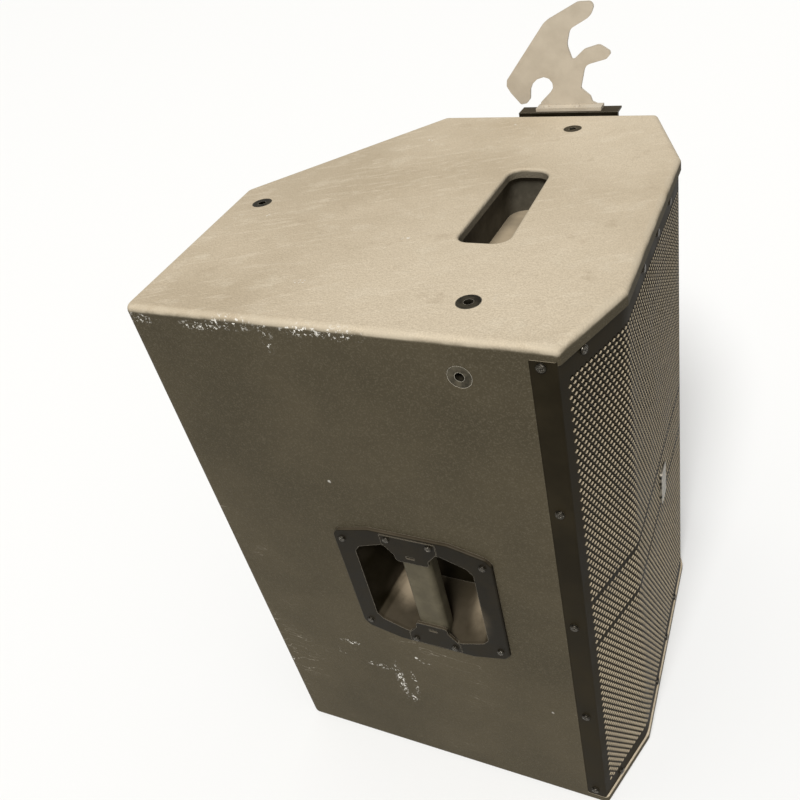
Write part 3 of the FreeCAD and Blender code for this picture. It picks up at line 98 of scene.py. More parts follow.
# ================================================================ finishes
class Finish:
    """One material, with short calls for the nodes that its recipe is made of."""

    def __init__(self, name):
        self.material = bpy.data.materials.new(name)
        self.material.use_nodes = True
        self.tree = self.material.node_tree
        self.shader = self.tree.nodes["Principled BSDF"]
        self.place = self.add("ShaderNodeTexCoord").outputs["Object"]
        self.facing = self.add("ShaderNodeNewGeometry").outputs["Normal"]

    def add(self, kind, **settings):
        node = self.tree.nodes.new(kind)
        for setting, value in settings.items():
            setattr(node, setting, value)
        return node

    def feed(self, socket, value):
        if isinstance(value, bpy.types.NodeSocket):
            self.tree.links.new(value, socket)
        else:
            socket.default_value = value

    def calc(self, operation, a, b=0.0):
        node = self.add("ShaderNodeMath", operation=operation)
        self.feed(node.inputs[0], a)
        self.feed(node.inputs[1], b)
        return node.outputs[0]

    def step(self, value, low, high, bottom=0.0, top=1.0):
        """A smooth step from bottom at low to top at high."""
        node = self.add("ShaderNodeMapRange", interpolation_type="SMOOTHSTEP")
        self.feed(node.inputs["Value"], value)
        node.inputs["From Min"].default_value = low
        node.inputs["From Max"].default_value = high
        node.inputs["To Min"].default_value = bottom
        node.inputs["To Max"].default_value = top
        return node.outputs["Result"]

    def stretched(self, stretch, turn=0.0):
        """Places scaled along each axis, after a turn about the upright."""
        turned = self.add("ShaderNodeMapping")
        self.feed(turned.inputs["Vector"], self.place)
        turned.inputs["Rotation"].default_value = (0.0, 0.0, -turn)
        node = self.add("ShaderNodeMapping")
        self.feed(node.inputs["Vector"], turned.outputs["Vector"])
        node.inputs["Scale"].default_value = stretch
        return node.outputs["Vector"]

    def clouds(self, size, detail=3.0, roughness=0.55, where=None):
        """Noise whose features are about size metres across."""
        node = self.add("ShaderNodeTexNoise")
        self.feed(node.inputs["Vector"], where or self.place)
        node.inputs["Scale"].default_value = 1.0 / size
        node.inputs["Detail"].default_value = detail
        node.inputs["Roughness"].default_value = roughness
        return node.outputs[0]

    def pebbles(self, size, feature="F1"):
        """Cell distance, with cells about size metres across."""
        node = self.add("ShaderNodeTexVoronoi", feature=feature)
        self.feed(node.inputs["Vector"], self.place)
        node.inputs["Scale"].default_value = 1.0 / size
        return node.outputs["Distance"]

    def upward(self, low=0.25, high=0.85):
        """1 on faces that look up, where dust settles and where light from above is painted in."""
        node = self.add("ShaderNodeSeparateXYZ")
        self.feed(node.inputs[0], self.facing)
        return self.step(node.outputs["Z"], low, high)

    def corners(self, reach):
        """1 along sharp edges, from how far a rounded normal leans off the true one."""
        rounded = self.add("ShaderNodeBevel", samples=4)
        rounded.inputs["Radius"].default_value = reach
        node = self.add("ShaderNodeVectorMath", operation="DOT_PRODUCT")
        self.feed(node.inputs[0], rounded.outputs["Normal"])
        self.feed(node.inputs[1], self.facing)
        return self.step(node.outputs["Value"], 0.985, 0.8)

    def spot(self, centre, reach):
        """0 at a spot's middle and 1 at its rim, with a reach for each axis."""
        shifted = self.add("ShaderNodeVectorMath", operation="SUBTRACT")
        self.feed(shifted.inputs[0], self.place)
        shifted.inputs[1].default_value = centre
        scaled = self.add("ShaderNodeVectorMath", operation="DIVIDE")
        self.feed(scaled.inputs[0], shifted.outputs["Vector"])
        scaled.inputs[1].default_value = reach
        length = self.add("ShaderNodeVectorMath", operation="LENGTH")
        self.feed(length.inputs[0], scaled.outputs["Vector"])
        return length.outputs["Value"]

    def spots(self, places):
        """1 in the middle of every spot, as (centre, reach) pairs."""
        found = 0.0
        for centre, reach in places:
            found = self.calc("MAXIMUM", self.step(self.spot(centre, reach), 1.0, 0.35), found)
        return found

    def blend(self, factor, a, b):
        node = self.add("ShaderNodeMix", data_type="RGBA")
        self.feed(node.inputs[0], factor)
        for socket, colour in ((node.inputs[6], a), (node.inputs[7], b)):
            self.feed(socket, colour if isinstance(colour, bpy.types.NodeSocket) else (*colour, 1.0))
        return node.outputs[2]

    def relief(self, height, depth, base=None):
        """A bump whose full height is depth metres."""
        node = self.add("ShaderNodeBump")
        node.inputs["Distance"].default_value = depth
        self.feed(node.inputs["Height"], height)
        if base is not None:
            self.feed(node.inputs["Normal"], base)
        return node.outputs["Normal"]

    def done(self, colour, roughness, normal=None, metallic=0.0, specular=0.5):
        self.feed(self.shader.inputs["Base Color"], colour)
        self.feed(self.shader.inputs["Roughness"], roughness)
        self.feed(self.shader.inputs["Metallic"], metallic)
        self.feed(self.shader.inputs["Specular IOR Level"], specular)
        if normal is not None:
            self.feed(self.shader.inputs["Normal"], normal)
        return self.material


# The dust colour; it is also used to paint a pool of light in the handle cup.
dust = (0.50, 0.40, 0.27)


def settled(finish, colour, amount):
    """Lays dust on the faces that look up, thinner in patches where it has been cleaned off."""
    wiped_and_lit = finish.step(finish.clouds(0.05, 4.0, 0.6), 0.3, 0.7, 0.6, 1.0)
    layer = finish.calc("MULTIPLY", finish.upward(), wiped_and_lit)
    return finish.blend(finish.calc("MULTIPLY", layer, amount), colour, dust)


top_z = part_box("top_panel")[1].z
near_face_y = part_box("near_side_panel")[0].y


def textured_coat():
    """Hard rolled coat on plywood: pebbled, scuffed to pale primer at knocks, and far paler on faces that
    look up, partly from dust and partly as painted light from above.
    """
    finish = Finish("textured_coat")
    pebble = finish.pebbles(2.6 * MM)
    fine = finish.clouds(1.3 * MM, 2.0, 0.6)
    broad = finish.clouds(0.16, 4.0, 0.55)
    patchy = finish.clouds(0.035, 4.0, 0.65)
    side = finish.blend(finish.step(broad, 0.3, 0.7), (0.049, 0.040, 0.023), (0.068, 0.055, 0.032))
    side = finish.blend(finish.step(fine, 0.45, 0.75, 0.0, 0.5), side, (0.13, 0.112, 0.078))
    brushed = finish.clouds(0.006, 4.0, 0.65, finish.stretched((0.18, 1.0, 1.0), 0.4))
    top = finish.blend(finish.step(broad, 0.3, 0.7), (0.475, 0.392, 0.275), (0.565, 0.475, 0.345))
    # Painted light on the top: paler pools towards the right, where more light falls, and painted shade
    # towards the back left.
    wiped_and_lit = finish.spots([((0.12, -0.16, top_z), (0.24, 0.22, 0.1)), ((0.16, 0.17, top_z), (0.14, 0.2, 0.1))])
    top = finish.blend(finish.calc("MULTIPLY", wiped_and_lit, 0.5), top, (0.68, 0.585, 0.44))
    painted_shade_spot = finish.spots([((-0.23, 0.12, top_z), (0.2, 0.3, 0.1))])
    top = finish.blend(finish.calc("MULTIPLY", painted_shade_spot, 0.45), top, (0.40, 0.33, 0.23))
    top = finish.blend(finish.step(patchy, 0.52, 0.7, 0.0, 0.35), top, (0.66, 0.58, 0.445))
    top = finish.blend(finish.step(patchy, 0.42, 0.3, 0.0, 0.35), top, (0.40, 0.32, 0.22))
    top = finish.blend(finish.step(brushed, 0.52, 0.68, 0.0, 0.4), top, (0.68, 0.59, 0.45))
    top = finish.blend(finish.step(fine, 0.6, 0.4, 0.0, 0.3), top, (0.30, 0.245, 0.17))
    # Faces that look up take the pale top colour: partly dust, partly painted light from above.
    colour = finish.blend(finish.upward(0.1, 0.8), side, top)
    slot_low, slot_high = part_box("hand_slot_cup")
    slot_middle = (*((slot_low + slot_high) / 2).xy, top_z - 8 * MM)
    # Painted light: the upright walls round the hand slot are painted paler, standing in for light falling on
    # them.
    painted_light_slot_walls = finish.calc("MULTIPLY", finish.spots([(slot_middle, (0.07, 0.14, 0.05))]), finish.upward(0.8, 0.1))
    colour = finish.blend(painted_light_slot_walls, colour, (0.20, 0.175, 0.13))
    # The rounded top edge is paler: partly wear, partly a painted highlight.
    rim = finish.calc("MULTIPLY", finish.upward(0.05, 0.35), finish.upward(0.999, 0.93))
    colour = finish.blend(finish.calc("MULTIPLY", rim, finish.step(patchy, 0.35, 0.6, 0.1, 0.6)), colour,
                          (0.50, 0.43, 0.32))
    streaks = finish.clouds(0.02, 3.0, 0.6, finish.stretched((0.25, 0.25, 1.0)))
    scratched = finish.step(finish.calc("ABSOLUTE", finish.calc("SUBTRACT", streaks, 0.5)), 0.006, 0.0)
    scratched = finish.calc("MULTIPLY", scratched, finish.step(broad, 0.55, 0.7))
    colour = finish.blend(finish.calc("MULTIPLY", scratched, 0.35), colour, (0.62, 0.56, 0.46))
    side_knocks = [
        (-0.193, 0.652, (0.035, 0.02, 0.007)), (-0.117, 0.651, (0.03, 0.02, 0.006)),
        (-0.084, 0.657, (0.03, 0.02, 0.009)), (-0.049, 0.647, (0.008, 0.02, 0.02)),
        (-0.011, 0.657, (0.028, 0.02, 0.008)), (0.025, 0.657, (0.03, 0.02, 0.008)),
        (-0.199, 0.128, (0.012, 0.01, 0.006)), (-0.106, 0.180, (0.008, 0.01, 0.007)),
        (-0.086, 0.204, (0.02, 0.01, 0.005)), (-0.033, 0.150, (0.007, 0.01, 0.045)),
        (-0.022, 0.118, (0.008, 0.01, 0.012)), (-0.014, 0.150, (0.004, 0.01, 0.03)),
        (-0.057, 0.170, (0.022, 0.01, 0.006)), (0.009, 0.204, (0.01, 0.01, 0.006))]
    top_knocks = [
        (-0.049, -0.188, (0.008, 0.006, 0.01)), (0.014, -0.100, (0.007, 0.005, 0.01)),
        (-0.165, -0.066, (0.006, 0.006, 0.01)), (-0.071, 0.147, (0.006, 0.006, 0.01))]
    knocks = [((x, near_face_y, z), reach) for x, z, reach in side_knocks]
    knocks += [((x, y, top_z), reach) for x, y, reach in top_knocks]
    broken = finish.step(finish.clouds(3.4 * MM, 5.0, 0.7), 0.555, 0.605)
    chipped = finish.calc("MULTIPLY", finish.spots(knocks), broken)
    flecks = finish.step(finish.pebbles(0.045), 0.055, 0.03)
    flecks = finish.calc("MULTIPLY", flecks, finish.step(patchy, 0.5, 0.6, 0.0, 0.7))
    chipped = finish.calc("MAXIMUM", chipped, flecks)
    colour = finish.blend(chipped, colour, (0.78, 0.75, 0.68))
    height = finish.calc("ADD", finish.calc("MULTIPLY", pebble, 0.6), finish.calc("MULTIPLY", fine, 0.7))
    roughness = finish.step(fine, 0.3, 0.7, 0.66, 0.88)
    return finish.done(colour, roughness, finish.relief(height, 0.5 * MM), 0.0, 0.12)


def grille_paint():
    """Powder coat on perforated steel; the lower wall of every hole is paler, partly from dust and partly as
    painted light from above.
    """
    finish = Finish("grille_paint")
    orange_peel = finish.clouds(1.6 * MM, 2.0)
    haze = finish.clouds(0.06, 4.0, 0.6)
    colour = finish.blend(finish.step(haze, 0.3, 0.7), (0.011, 0.008, 0.003), (0.021, 0.016, 0.008))
    # The paler colour on faces that look up, such as the lower wall of each hole, is partly dust and partly
    # painted light from above.
    dust_and_light_on_walls = finish.calc("MULTIPLY", finish.upward(0.05, 0.35), finish.step(haze, 0.2, 0.6, 0.8, 1.0))
    colour = finish.blend(dust_and_light_on_walls, colour, (0.46, 0.385, 0.27))
    return finish.done(colour, finish.step(haze, 0.3, 0.7, 0.5, 0.66), finish.relief(orange_peel, 0.05 * MM),
                       0.0, 0.05)


def moulded(name, dark, light, settling, gloss, dust_and_light_spots=()):
    """Moulded plastic with a fine spark-eroded grain, pale at its edges partly from wear and partly as a
    painted highlight, with dust on faces that look up and, where given, spots of dust and of painted light.
    """
    finish = Finish(name)
    grain = finish.clouds(0.7 * MM, 2.0, 0.6)
    rubbed_and_glint = finish.clouds(0.03, 4.0, 0.65)
    colour = finish.blend(finish.step(rubbed_and_glint, 0.35, 0.7), dark, light)
    # Edges are painted paler: partly wear, partly a painted highlight.
    colour = finish.blend(finish.calc("MULTIPLY", finish.corners(1.0 * MM), 0.5), colour, (0.36, 0.32, 0.25))
    colour = settled(finish, colour, settling)
    if dust_and_light_spots:
        # Given spots take the dust colour: some are dust smudges, some are painted pools of light.
        smudged_and_lit = finish.calc("MULTIPLY", finish.spots(dust_and_light_spots), finish.step(rubbed_and_glint, 0.3, 0.6, 0.45, 1.0))
        colour = finish.blend(finish.calc("MULTIPLY", smudged_and_lit, finish.upward(-0.2, 0.4)), colour, dust)
    roughness = finish.step(rubbed_and_glint, 0.3, 0.7, gloss, gloss + 0.18)
    return finish.done(colour, roughness, finish.relief(grain, 0.05 * MM), 0.0, 0.06)


def bare_metal(name, colour_a, colour_b, roughness, size=0.012, painted_edge_glint_and_shade=0.0):
    """Turned or plated metal with fine brushing and rougher patches of another tone, and where asked a
    painted glint along its rims.
    """
    finish = Finish(name)
    brushing = finish.clouds(0.9 * MM, 3.0, 0.6, finish.stretched((1.0, 1.0, 6.0)))
    patches = finish.clouds(size, 4.0, 0.6)
    colour = finish.blend(finish.step(patches, 0.35, 0.65), colour_a, colour_b)
    # A painted glint: the rims are painted pale to stand in for light caught there.
    if painted_edge_glint_and_shade:
        painted_rim_glint = finish.calc("MULTIPLY", finish.corners(0.8 * MM), painted_edge_glint_and_shade)
        colour = finish.blend(painted_rim_glint, colour, (0.80, 0.74, 0.62))
    normal = finish.relief(brushing, 0.03 * MM)
    return finish.done(colour, finish.step(patches, 0.3, 0.7, roughness, roughness + 0.2), normal, 0.9)


def blackened_screws():
    """Blackened steel screws whose rims and recesses are bright, partly from wear and partly as painted
    glints.
    """
    finish = Finish("blackened_screws")
    patches = finish.clouds(2.0 * MM, 3.0, 0.6)
    # The bright rims and patches are partly wear and partly painted glints.
    rubbed_and_glint = finish.calc("MULTIPLY", finish.corners(0.6 * MM), 0.6)
    rubbed_and_glint = finish.calc("MAXIMUM", rubbed_and_glint, finish.step(patches, 0.6, 0.75))
    colour = finish.blend(rubbed_and_glint, (0.035, 0.030, 0.022), (0.62, 0.57, 0.48))
    roughness = finish.step(patches, 0.3, 0.7, 0.28, 0.5)
    return finish.done(colour, roughness, finish.relief(patches, 0.04 * MM), 0.85)


def hook_paint():
    """Pale brushed paint on plate steel, greyed by handling, with painted shade darkening its cut edges."""
    finish = Finish("hook_paint")
    cloudy = finish.clouds(0.03, 4.0, 0.6)
    fine = finish.clouds(1.1 * MM, 3.0, 0.6)
    colour = finish.blend(finish.step(cloudy, 0.3, 0.7), (0.455, 0.395, 0.305), (0.53, 0.465, 0.365))
    colour = finish.blend(finish.step(fine, 0.55, 0.75, 0.0, 0.4), colour, (0.42, 0.355, 0.265))
    # Painted shade: the cut edges are darkened.
    painted_edge_glint_and_shade = finish.calc("MULTIPLY", finish.corners(0.9 * MM), finish.step(cloudy, 0.35, 0.6, 0.3, 1.0))
    colour = finish.blend(painted_edge_glint_and_shade, colour, (0.27, 0.22, 0.16))
    return finish.done(colour, finish.step(cloudy, 0.3, 0.7, 0.5, 0.7), finish.relief(fine, 0.08 * MM))


def stained_ply():
    """Black-stained plywood with its long grain showing through."""
    finish = Finish("stained_ply")
    long_grain = finish.clouds(3.0 * MM, 4.0, 0.6, finish.stretched((1.0, 1.0, 0.08)))
    colour = finish.blend(finish.step(long_grain, 0.35, 0.65), (0.012, 0.010, 0.008), (0.05, 0.04, 0.03))
    roughness = finish.step(long_grain, 0.3, 0.7, 0.6, 0.8)
    return finish.done(colour, roughness, finish.relief(long_grain, 0.12 * MM))


def open_foam(name, dark, light, pore):
    """Open-cell foam: a froth of small round pores."""
    finish = Finish(name)
    froth = finish.pebbles(pore)
    tufts = finish.clouds(0.02, 4.0, 0.65)
    colour = finish.blend(finish.step(froth, 0.5, 0.15), light, dark)
    colour = finish.blend(finish.step(tufts, 0.45, 0.7, 0.0, 0.4), colour, light)
    return finish.done(colour, 0.95, finish.relief(finish.step(froth, 0.1, 0.6), pore * 0.5))


def woven_cloth():
    """Resin-treated suspension cloth with its weave showing."""
    finish = Finish("woven_cloth")
    threads = []
    for axis in ("Y", "Z"):
        wave = finish.add("ShaderNodeTexWave", bands_direction=axis)
        finish.feed(wave.inputs["Vector"], finish.place)
        wave.inputs["Scale"].default_value = 180.0
        wave.inputs["Distortion"].default_value = 0.6
        threads.append(wave.outputs["Fac"])
    weave = finish.calc("MAXIMUM", *threads)
    colour = finish.blend(weave, (0.03, 0.025, 0.018), (0.12, 0.10, 0.07))
    return finish.done(colour, finish.step(weave, 0.2, 0.9, 0.5, 0.7), finish.relief(weave, 0.15 * MM))


def cone_paper():
    """Pressed paper pulp with loose fibres and a lacquered bloom."""
    finish = Finish("cone_paper")
    fibres = finish.clouds(1.8 * MM, 5.0, 0.7, finish.stretched((1.0, 0.4, 1.0)))
    colour = finish.blend(finish.step(fibres, 0.4, 0.65), (0.016, 0.015, 0.013), (0.05, 0.047, 0.042))
    return finish.done(colour, finish.step(fibres, 0.3, 0.7, 0.55, 0.8), finish.relief(fibres, 0.1 * MM))


def copper_winding():
    """Enamelled wire laid in close turns."""
    finish = Finish("copper_winding")
    turns = finish.add("ShaderNodeTexWave", bands_direction="Z")
    finish.feed(turns.inputs["Vector"], finish.place)
    turns.inputs["Scale"].default_value = 220.0
    patches = finish.clouds(0.01, 2.0)
    colour = finish.blend(finish.step(patches, 0.3, 0.7), (0.55, 0.22, 0.09), (0.72, 0.33, 0.15))
    colour = finish.blend(turns.outputs["Fac"], (0.16, 0.05, 0.02), colour)
    return finish.done(colour, 0.32, finish.relief(turns.outputs["Fac"], 0.2 * MM), 0.8)


def etched_board():
    """Green glass-epoxy board with pale copper tracks under the resist."""
    finish = Finish("etched_board")
    tracks = finish.step(finish.pebbles(0.014, "DISTANCE_TO_EDGE"), 0.06, 0.09)
    speckle = finish.clouds(0.8 * MM, 2.0)
    colour = finish.blend(tracks, (0.02, 0.11, 0.05), (0.012, 0.055, 0.028))
    colour = finish.blend(finish.step(speckle, 0.6, 0.8, 0.0, 0.3), colour, (0.05, 0.2, 0.1))
    return finish.done(colour, finish.step(tracks, 0.0, 1.0, 0.3, 0.42), finish.relief(tracks, 0.04 * MM))


def cast_paint():
    """Satin black on a casting, with its pebbled skin."""
    finish = Finish("cast_paint")
    skin = finish.clouds(2.2 * MM, 3.0, 0.6)
    colour = finish.blend(finish.step(skin, 0.4, 0.7), (0.014, 0.014, 0.014), (0.035, 0.034, 0.032))
    return finish.done(colour, finish.step(skin, 0.3, 0.7, 0.4, 0.58), finish.relief(skin, 0.12 * MM), 0.3)


def soft_rubber():
    """Matt black rubber with moulding bloom and dust in its grain."""
    finish = Finish("soft_rubber")
    bloom = finish.clouds(0.008, 4.0, 0.65)
    grain = finish.clouds(0.8 * MM, 2.0)
    colour = finish.blend(finish.step(bloom, 0.4, 0.7), (0.014, 0.013, 0.012), (0.05, 0.046, 0.04))
    return finish.done(settled(finish, colour, 0.5), finish.step(bloom, 0.3, 0.7, 0.7, 0.88),
                       finish.relief(grain, 0.08 * MM))


def paint_cad_nodes():
    """Gives every carried-over node its finish."""
    coat = textured_coat()
    ply = stained_ply()
    grille = grille_paint()
    cup_low, cup_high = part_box("handle_cup")
    cup_middle = (cup_low + cup_high) / 2
    # The first spot, right of the grip, is a painted pool of light; the second, low on the left, is a dust
    # smudge.
    smudge_and_light_pool = [((cup_high.x - 40 * MM, cup_middle.y, cup_middle.z - 22 * MM), (0.038, 0.06, 0.05)),
               ((cup_low.x + 52 * MM, cup_middle.y, cup_middle.z - 38 * MM), (0.03, 0.06, 0.028))]
    shell = moulded("moulded_shell", (0.008, 0.006, 0.0025), (0.016, 0.0125, 0.007), 0.1, 0.36, smudge_and_light_pool)
    grip = moulded("moulded_grip", (0.070, 0.060, 0.038), (0.105, 0.091, 0.060), 0.3, 0.5)
    # The slot lining is paler than the black shell and heavily dusted on its floor: partly dust, partly
    # painted light falling into the slot.
    lining = moulded("slot_lining", (0.070, 0.062, 0.046), (0.115, 0.102, 0.078), 0.8, 0.6)
    black = moulded("moulded_black", (0.010, 0.010, 0.010), (0.026, 0.025, 0.023), 0.2, 0.4)
    sleeve = moulded("capacitor_sleeve", (0.05, 0.012, 0.010), (0.16, 0.03, 0.02), 0.1, 0.3)
    ceramic = moulded("resistor_ceramic", (0.55, 0.53, 0.48), (0.68, 0.66, 0.60), 0.1, 0.6)
    screws = blackened_screws()
    zinc = bare_metal("zinc_plate", (0.42, 0.40, 0.36), (0.60, 0.57, 0.52), 0.3)
    # The inserts get a painted glint along their rims.
    insert = bare_metal("insert_steel", (0.035, 0.030, 0.020), (0.11, 0.095, 0.065), 0.34, 0.009, 0.9)
    motor = bare_metal("motor_steel", (0.38, 0.38, 0.39), (0.55, 0.55, 0.56), 0.28, 0.03)
    # The badge's pale patches are painted glints on a dark plate.
    badge = bare_metal("badge_plate_metal", (0.05, 0.045, 0.035), (0.40, 0.36, 0.29), 0.35, 0.006)
    foil = bare_metal("pressed_foil", (0.62, 0.62, 0.64), (0.75, 0.75, 0.77), 0.22, 0.01)
    casting = cast_paint()
    copper = copper_winding()
    rubber = soft_rubber()
    paper = cone_paper()
    cloth = woven_cloth()
    black_foam = open_foam("grille_foam_black", (0.004, 0.004, 0.003), (0.014, 0.012, 0.009), 1.4 * MM)
    grey_foam = open_foam("grey_wadding", (0.05, 0.05, 0.05), (0.20, 0.20, 0.19), 2.6 * MM)
    ferrite = open_foam("sintered_ferrite", (0.012, 0.012, 0.013), (0.035, 0.035, 0.037), 0.6 * MM)
    finishes = {
        coat: ["top_panel", "bottom_panel", "near_side_panel", "far_side_panel", "rear_panel", "floor_panel"],
        ply: ["baffle", "baffle_cleats", "cross_brace", "grille_battens"],
        grille: ["grille", "connector_plate"],
        shell: ["handle_cup", "handle_caps", "hook_bracket"],
        lining: ["hand_slot_cup"],
        grip: ["handle_grip"],
        black: ["speaker_sockets", "horn", "port_tubes", "driver_phase_plug"],
        sleeve: ["crossover_capacitors"],
        ceramic: ["crossover_resistors"],
        screws: ["grille_screws", "handle_screws", "connector_screws", "woofer_bolts", "horn_screws",
                 "foot_screws", "pole_socket_screws", "crossover_screws"],
        zinc: ["hook_bolts", "woofer_terminals", "crossover_posts"],
        insert: ["rigging_inserts", "pole_socket"],
        motor: ["woofer_top_plate", "woofer_back_plate", "driver_yoke", "driver_top_plate"],
        badge: ["badge_plate"],
        foil: ["driver_diaphragm"],
        hook_paint(): ["hook_plate", "hook_rivets"],
        casting: ["woofer_basket", "driver_cover", "driver_clamp_ring"],
        copper: ["woofer_voice_coil", "crossover_coils"],
        rubber: ["rubber_feet", "woofer_gasket"],
        paper: ["woofer_cone", "woofer_dust_cap"],
        cloth: ["woofer_surround", "woofer_spider"],
        ferrite: ["woofer_magnet", "driver_magnet"],
        etched_board(): ["crossover_board"],
        black_foam: ["grille_foam"],
        grey_foam: ["acoustic_wadding"]}
    for material, names in finishes.items():
        for name in names:
            nodes[name].data.materials.clear()
            nodes[name].data.materials.append(material)


# ================================================================ shared mesh steps
def piece(name, mesh_data, material, body, replaced=()):
    """Turns a bmesh into a finished piece on its body."""
    mesh = bpy.data.meshes.new(name)
    mesh_data.to_mesh(mesh)
    mesh_data.free()
    mesh.materials.append(material)
    shown = bpy.data.objects.new(name, mesh)
    bpy.context.scene.collection.objects.link(shown)
    if body:
        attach(shown, body)
    if replaced:
        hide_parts(*replaced)
    return shown


def smooth(shown, angle=40.0):
    """Smooth shading that keeps edges sharper than the angle."""
    shown.data.shade_smooth()
    shown.data.set_sharp_from_angle(angle=math.radians(angle))
    return shown


def upright(origin, along, out):
    """Local X along a wall, Y up and Z outwards."""
    rows = (along, Vector((0, 0, 1)), out)
    turn = Matrix([[axis[i] for axis in rows] for i in range(3)]).to_4x4()
    return Matrix.Translation(origin) @ turn


def rounded_path(corners, radii, steps=8):
    """Points along a plan line whose inner corners are rounded, each with the length run so far."""
    points = [corners[0]]
    for back, corner, ahead, radius in zip(corners, corners[1:], corners[2:], radii):
        come = (corner - back).normalized()
        go = (ahead - corner).normalized()
        turn = come.angle(go)
        inward = (go - come * go.dot(come)).normalized()
        start = corner - come * radius * math.tan(turn / 2)
        for i in range(steps + 1):
            angle = turn * i / steps
            points.append(start + come * radius * math.sin(angle) + inward * radius * (1 - math.cos(angle)))
    points.append(corners[-1])
    runs = [0.0]
    for a, b in zip(points, points[1:]):
        runs.append(runs[-1] + (b - a).length)
    return points, runs


def along_path(path, run):
    """The point at a length along a path, and the way out of the wall there."""
    points, runs = path
    i = min(max(bisect.bisect_right(runs, run) - 1, 0), len(points) - 2)
    along = (points[i + 1] - points[i]).normalized()
    return points[i] + along * (run - runs[i]), Vector((along.y, -along.x, 0))


def set_back(corners, depth):
    """A plan line moved inwards, corner by corner."""
    outs = [Vector((b.y - a.y, a.x - b.x, 0)).normalized() for a, b in zip(corners, corners[1:])]
    outs = [outs[0]] + outs + [outs[-1]]
    return [corner - (a + b) * depth / (1 + a.dot(b)) for corner, a, b in zip(corners, outs, outs[1:])]


# ================================================================ grille
def grille_plan():
    """The outside corners of the folded sheet, from the near flange round to the far one."""
    low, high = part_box("grille")
    near_run = near_chamfer * math.tan(chamfer_lean)
    far_run = far_chamfer * math.tan(chamfer_lean)
    return [Vector((high.x - near_run - near_flange_reach, low.y, 0)), Vector((high.x - near_run, low.y, 0)),
            Vector((high.x, low.y + near_chamfer, 0)), Vector((high.x, high.y - far_chamfer, 0)),
            Vector((high.x - far_run, high.y, 0)), Vector((low.x, high.y, 0))]


def grille_cell(mesh, left, holed):
    """One cell of the sheet, a six-cornered plate with or without its round hole."""
    half = hole_pitch / 2
    ring = [(0, 0), (half, 0), (hole_pitch, 0), (hole_pitch, row_pitch), (half, row_pitch), (0, row_pitch)]
    corners = [mesh.verts.new((left + x, y, 0)) for x, y in ring]
    if not holed:
        mesh.faces.new(corners)
        return
    edges = [mesh.edges.new((corners[i - 1], corners[i])) for i in range(len(corners))]
    half_side = Matrix.Rotation(math.pi / hole_sides, 4, "Z")
    middle = Matrix.Translation((left + half, row_pitch / 2, 0)) @ half_side
    hole = bmesh.ops.create_circle(mesh, segments=hole_sides, radius=hole_radius, matrix=middle)
    edges += list({edge for vert in hole["verts"] for edge in vert.link_edges})
    bmesh.ops.triangle_fill(mesh, use_beauty=True, edges=edges)


def grille_row(first, last, kind):
    """Some columns of a row: odd rows lie half a cell over, with plain ends, and plain rows have no holes."""
    mesh = bmesh.new()
    shift = hole_pitch / 2 if kind == "odd" else 0.0
    ends = []
    if kind == "odd" and first == 0:
        ends.append(0.0)
    if kind == "odd" and last == column_count:
        last -= 1
        ends.append(hole_pitch * last + shift)
    for i in range(first, last):
        grille_cell(mesh, shift + hole_pitch * i, kind != "plain")
    for left in ends:
        corners = [(left, 0), (left + shift, 0), (left + shift, row_pitch), (left, row_pitch)]
        mesh.faces.new([mesh.verts.new((x, y, 0)) for x, y in corners])
    row = bpy.data.meshes.new("row")
    mesh.to_mesh(row)
    mesh.free()
    return row


def folded(name, mesh, path, low_z, material):
    """Bends flat sheet, drawn as (run, height), round the plan and gives it its thickness."""
    bmesh.ops.remove_doubles(mesh, verts=mesh.verts, dist=0.01 * MM)
    bmesh.ops.recalc_face_normals(mesh, faces=mesh.faces)
    if sum(face.normal.z for face in mesh.faces) < 0:
        bmesh.ops.reverse_faces(mesh, faces=mesh.faces)
    for vert in mesh.verts:
        place, out = along_path(path, vert.co.x)
        vert.co = (place.x, place.y, low_z + vert.co.y)
    shown = piece(name, mesh, material, "cabinet", ["grille"])
    wall = shown.modifiers.new("wall", "SOLIDIFY")
    wall.thickness = sheet_thickness
    wall.offset = -1.0
    return shown


def build_grille(material):
    """One folded sheet: plain flanges and borders as a frame, and the perforated field in three runs."""
    low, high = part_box("grille")
    path = rounded_path(grille_plan(), (flange_radius, face_radius, face_radius, flange_radius))
    points, runs = path
    faces_start = runs[5]
    faces_end = runs[-6]
    field_start = (faces_start + faces_end - hole_pitch * column_count) / 2
    field_low = (high.z - low.z - row_pitch * row_count) / 2
    half_columns = [field_start + hole_pitch / 2 * i for i in range(2 * column_count + 1)]
    columns = [run for run in runs if run < field_start] + half_columns
    columns += [run for run in runs if run > half_columns[-1]]
    heights = (0.0, field_low, field_low + row_pitch * row_count, high.z - low.z)
    mesh = bmesh.new()
    grid = [[mesh.verts.new((run, height, 0)) for run in columns] for height in heights]
    for j in range(3):
        for i in range(len(columns) - 1):
            middle = (columns[i] + columns[i + 1]) / 2
            if j != 1 or not field_start < middle < half_columns[-1]:
                mesh.faces.new((grid[j][i], grid[j][i + 1], grid[j + 1][i + 1], grid[j + 1][i]))
    folded("grille_frame", mesh, path, low.z, material)
    for first, last in zip(column_splits, column_splits[1:]):
        kinds = {kind: grille_row(first, last, kind) for kind in ("even", "odd", "plain")}
        mesh = bmesh.new()
        for row in range(row_count):
            kind = "plain" if row in plain_rows else ("even", "odd")[row % 2]
            before = len(mesh.verts)
            mesh.from_mesh(kinds[kind])
            mesh.verts.ensure_lookup_table()
            bmesh.ops.translate(mesh, verts=mesh.verts[before:],
                                vec=(field_start, field_low + row_pitch * row, 0))
        folded("grille_field_%d" % (first + 1), mesh, path, low.z, material)
        for row in kinds.values():
            bpy.data.meshes.remove(row)


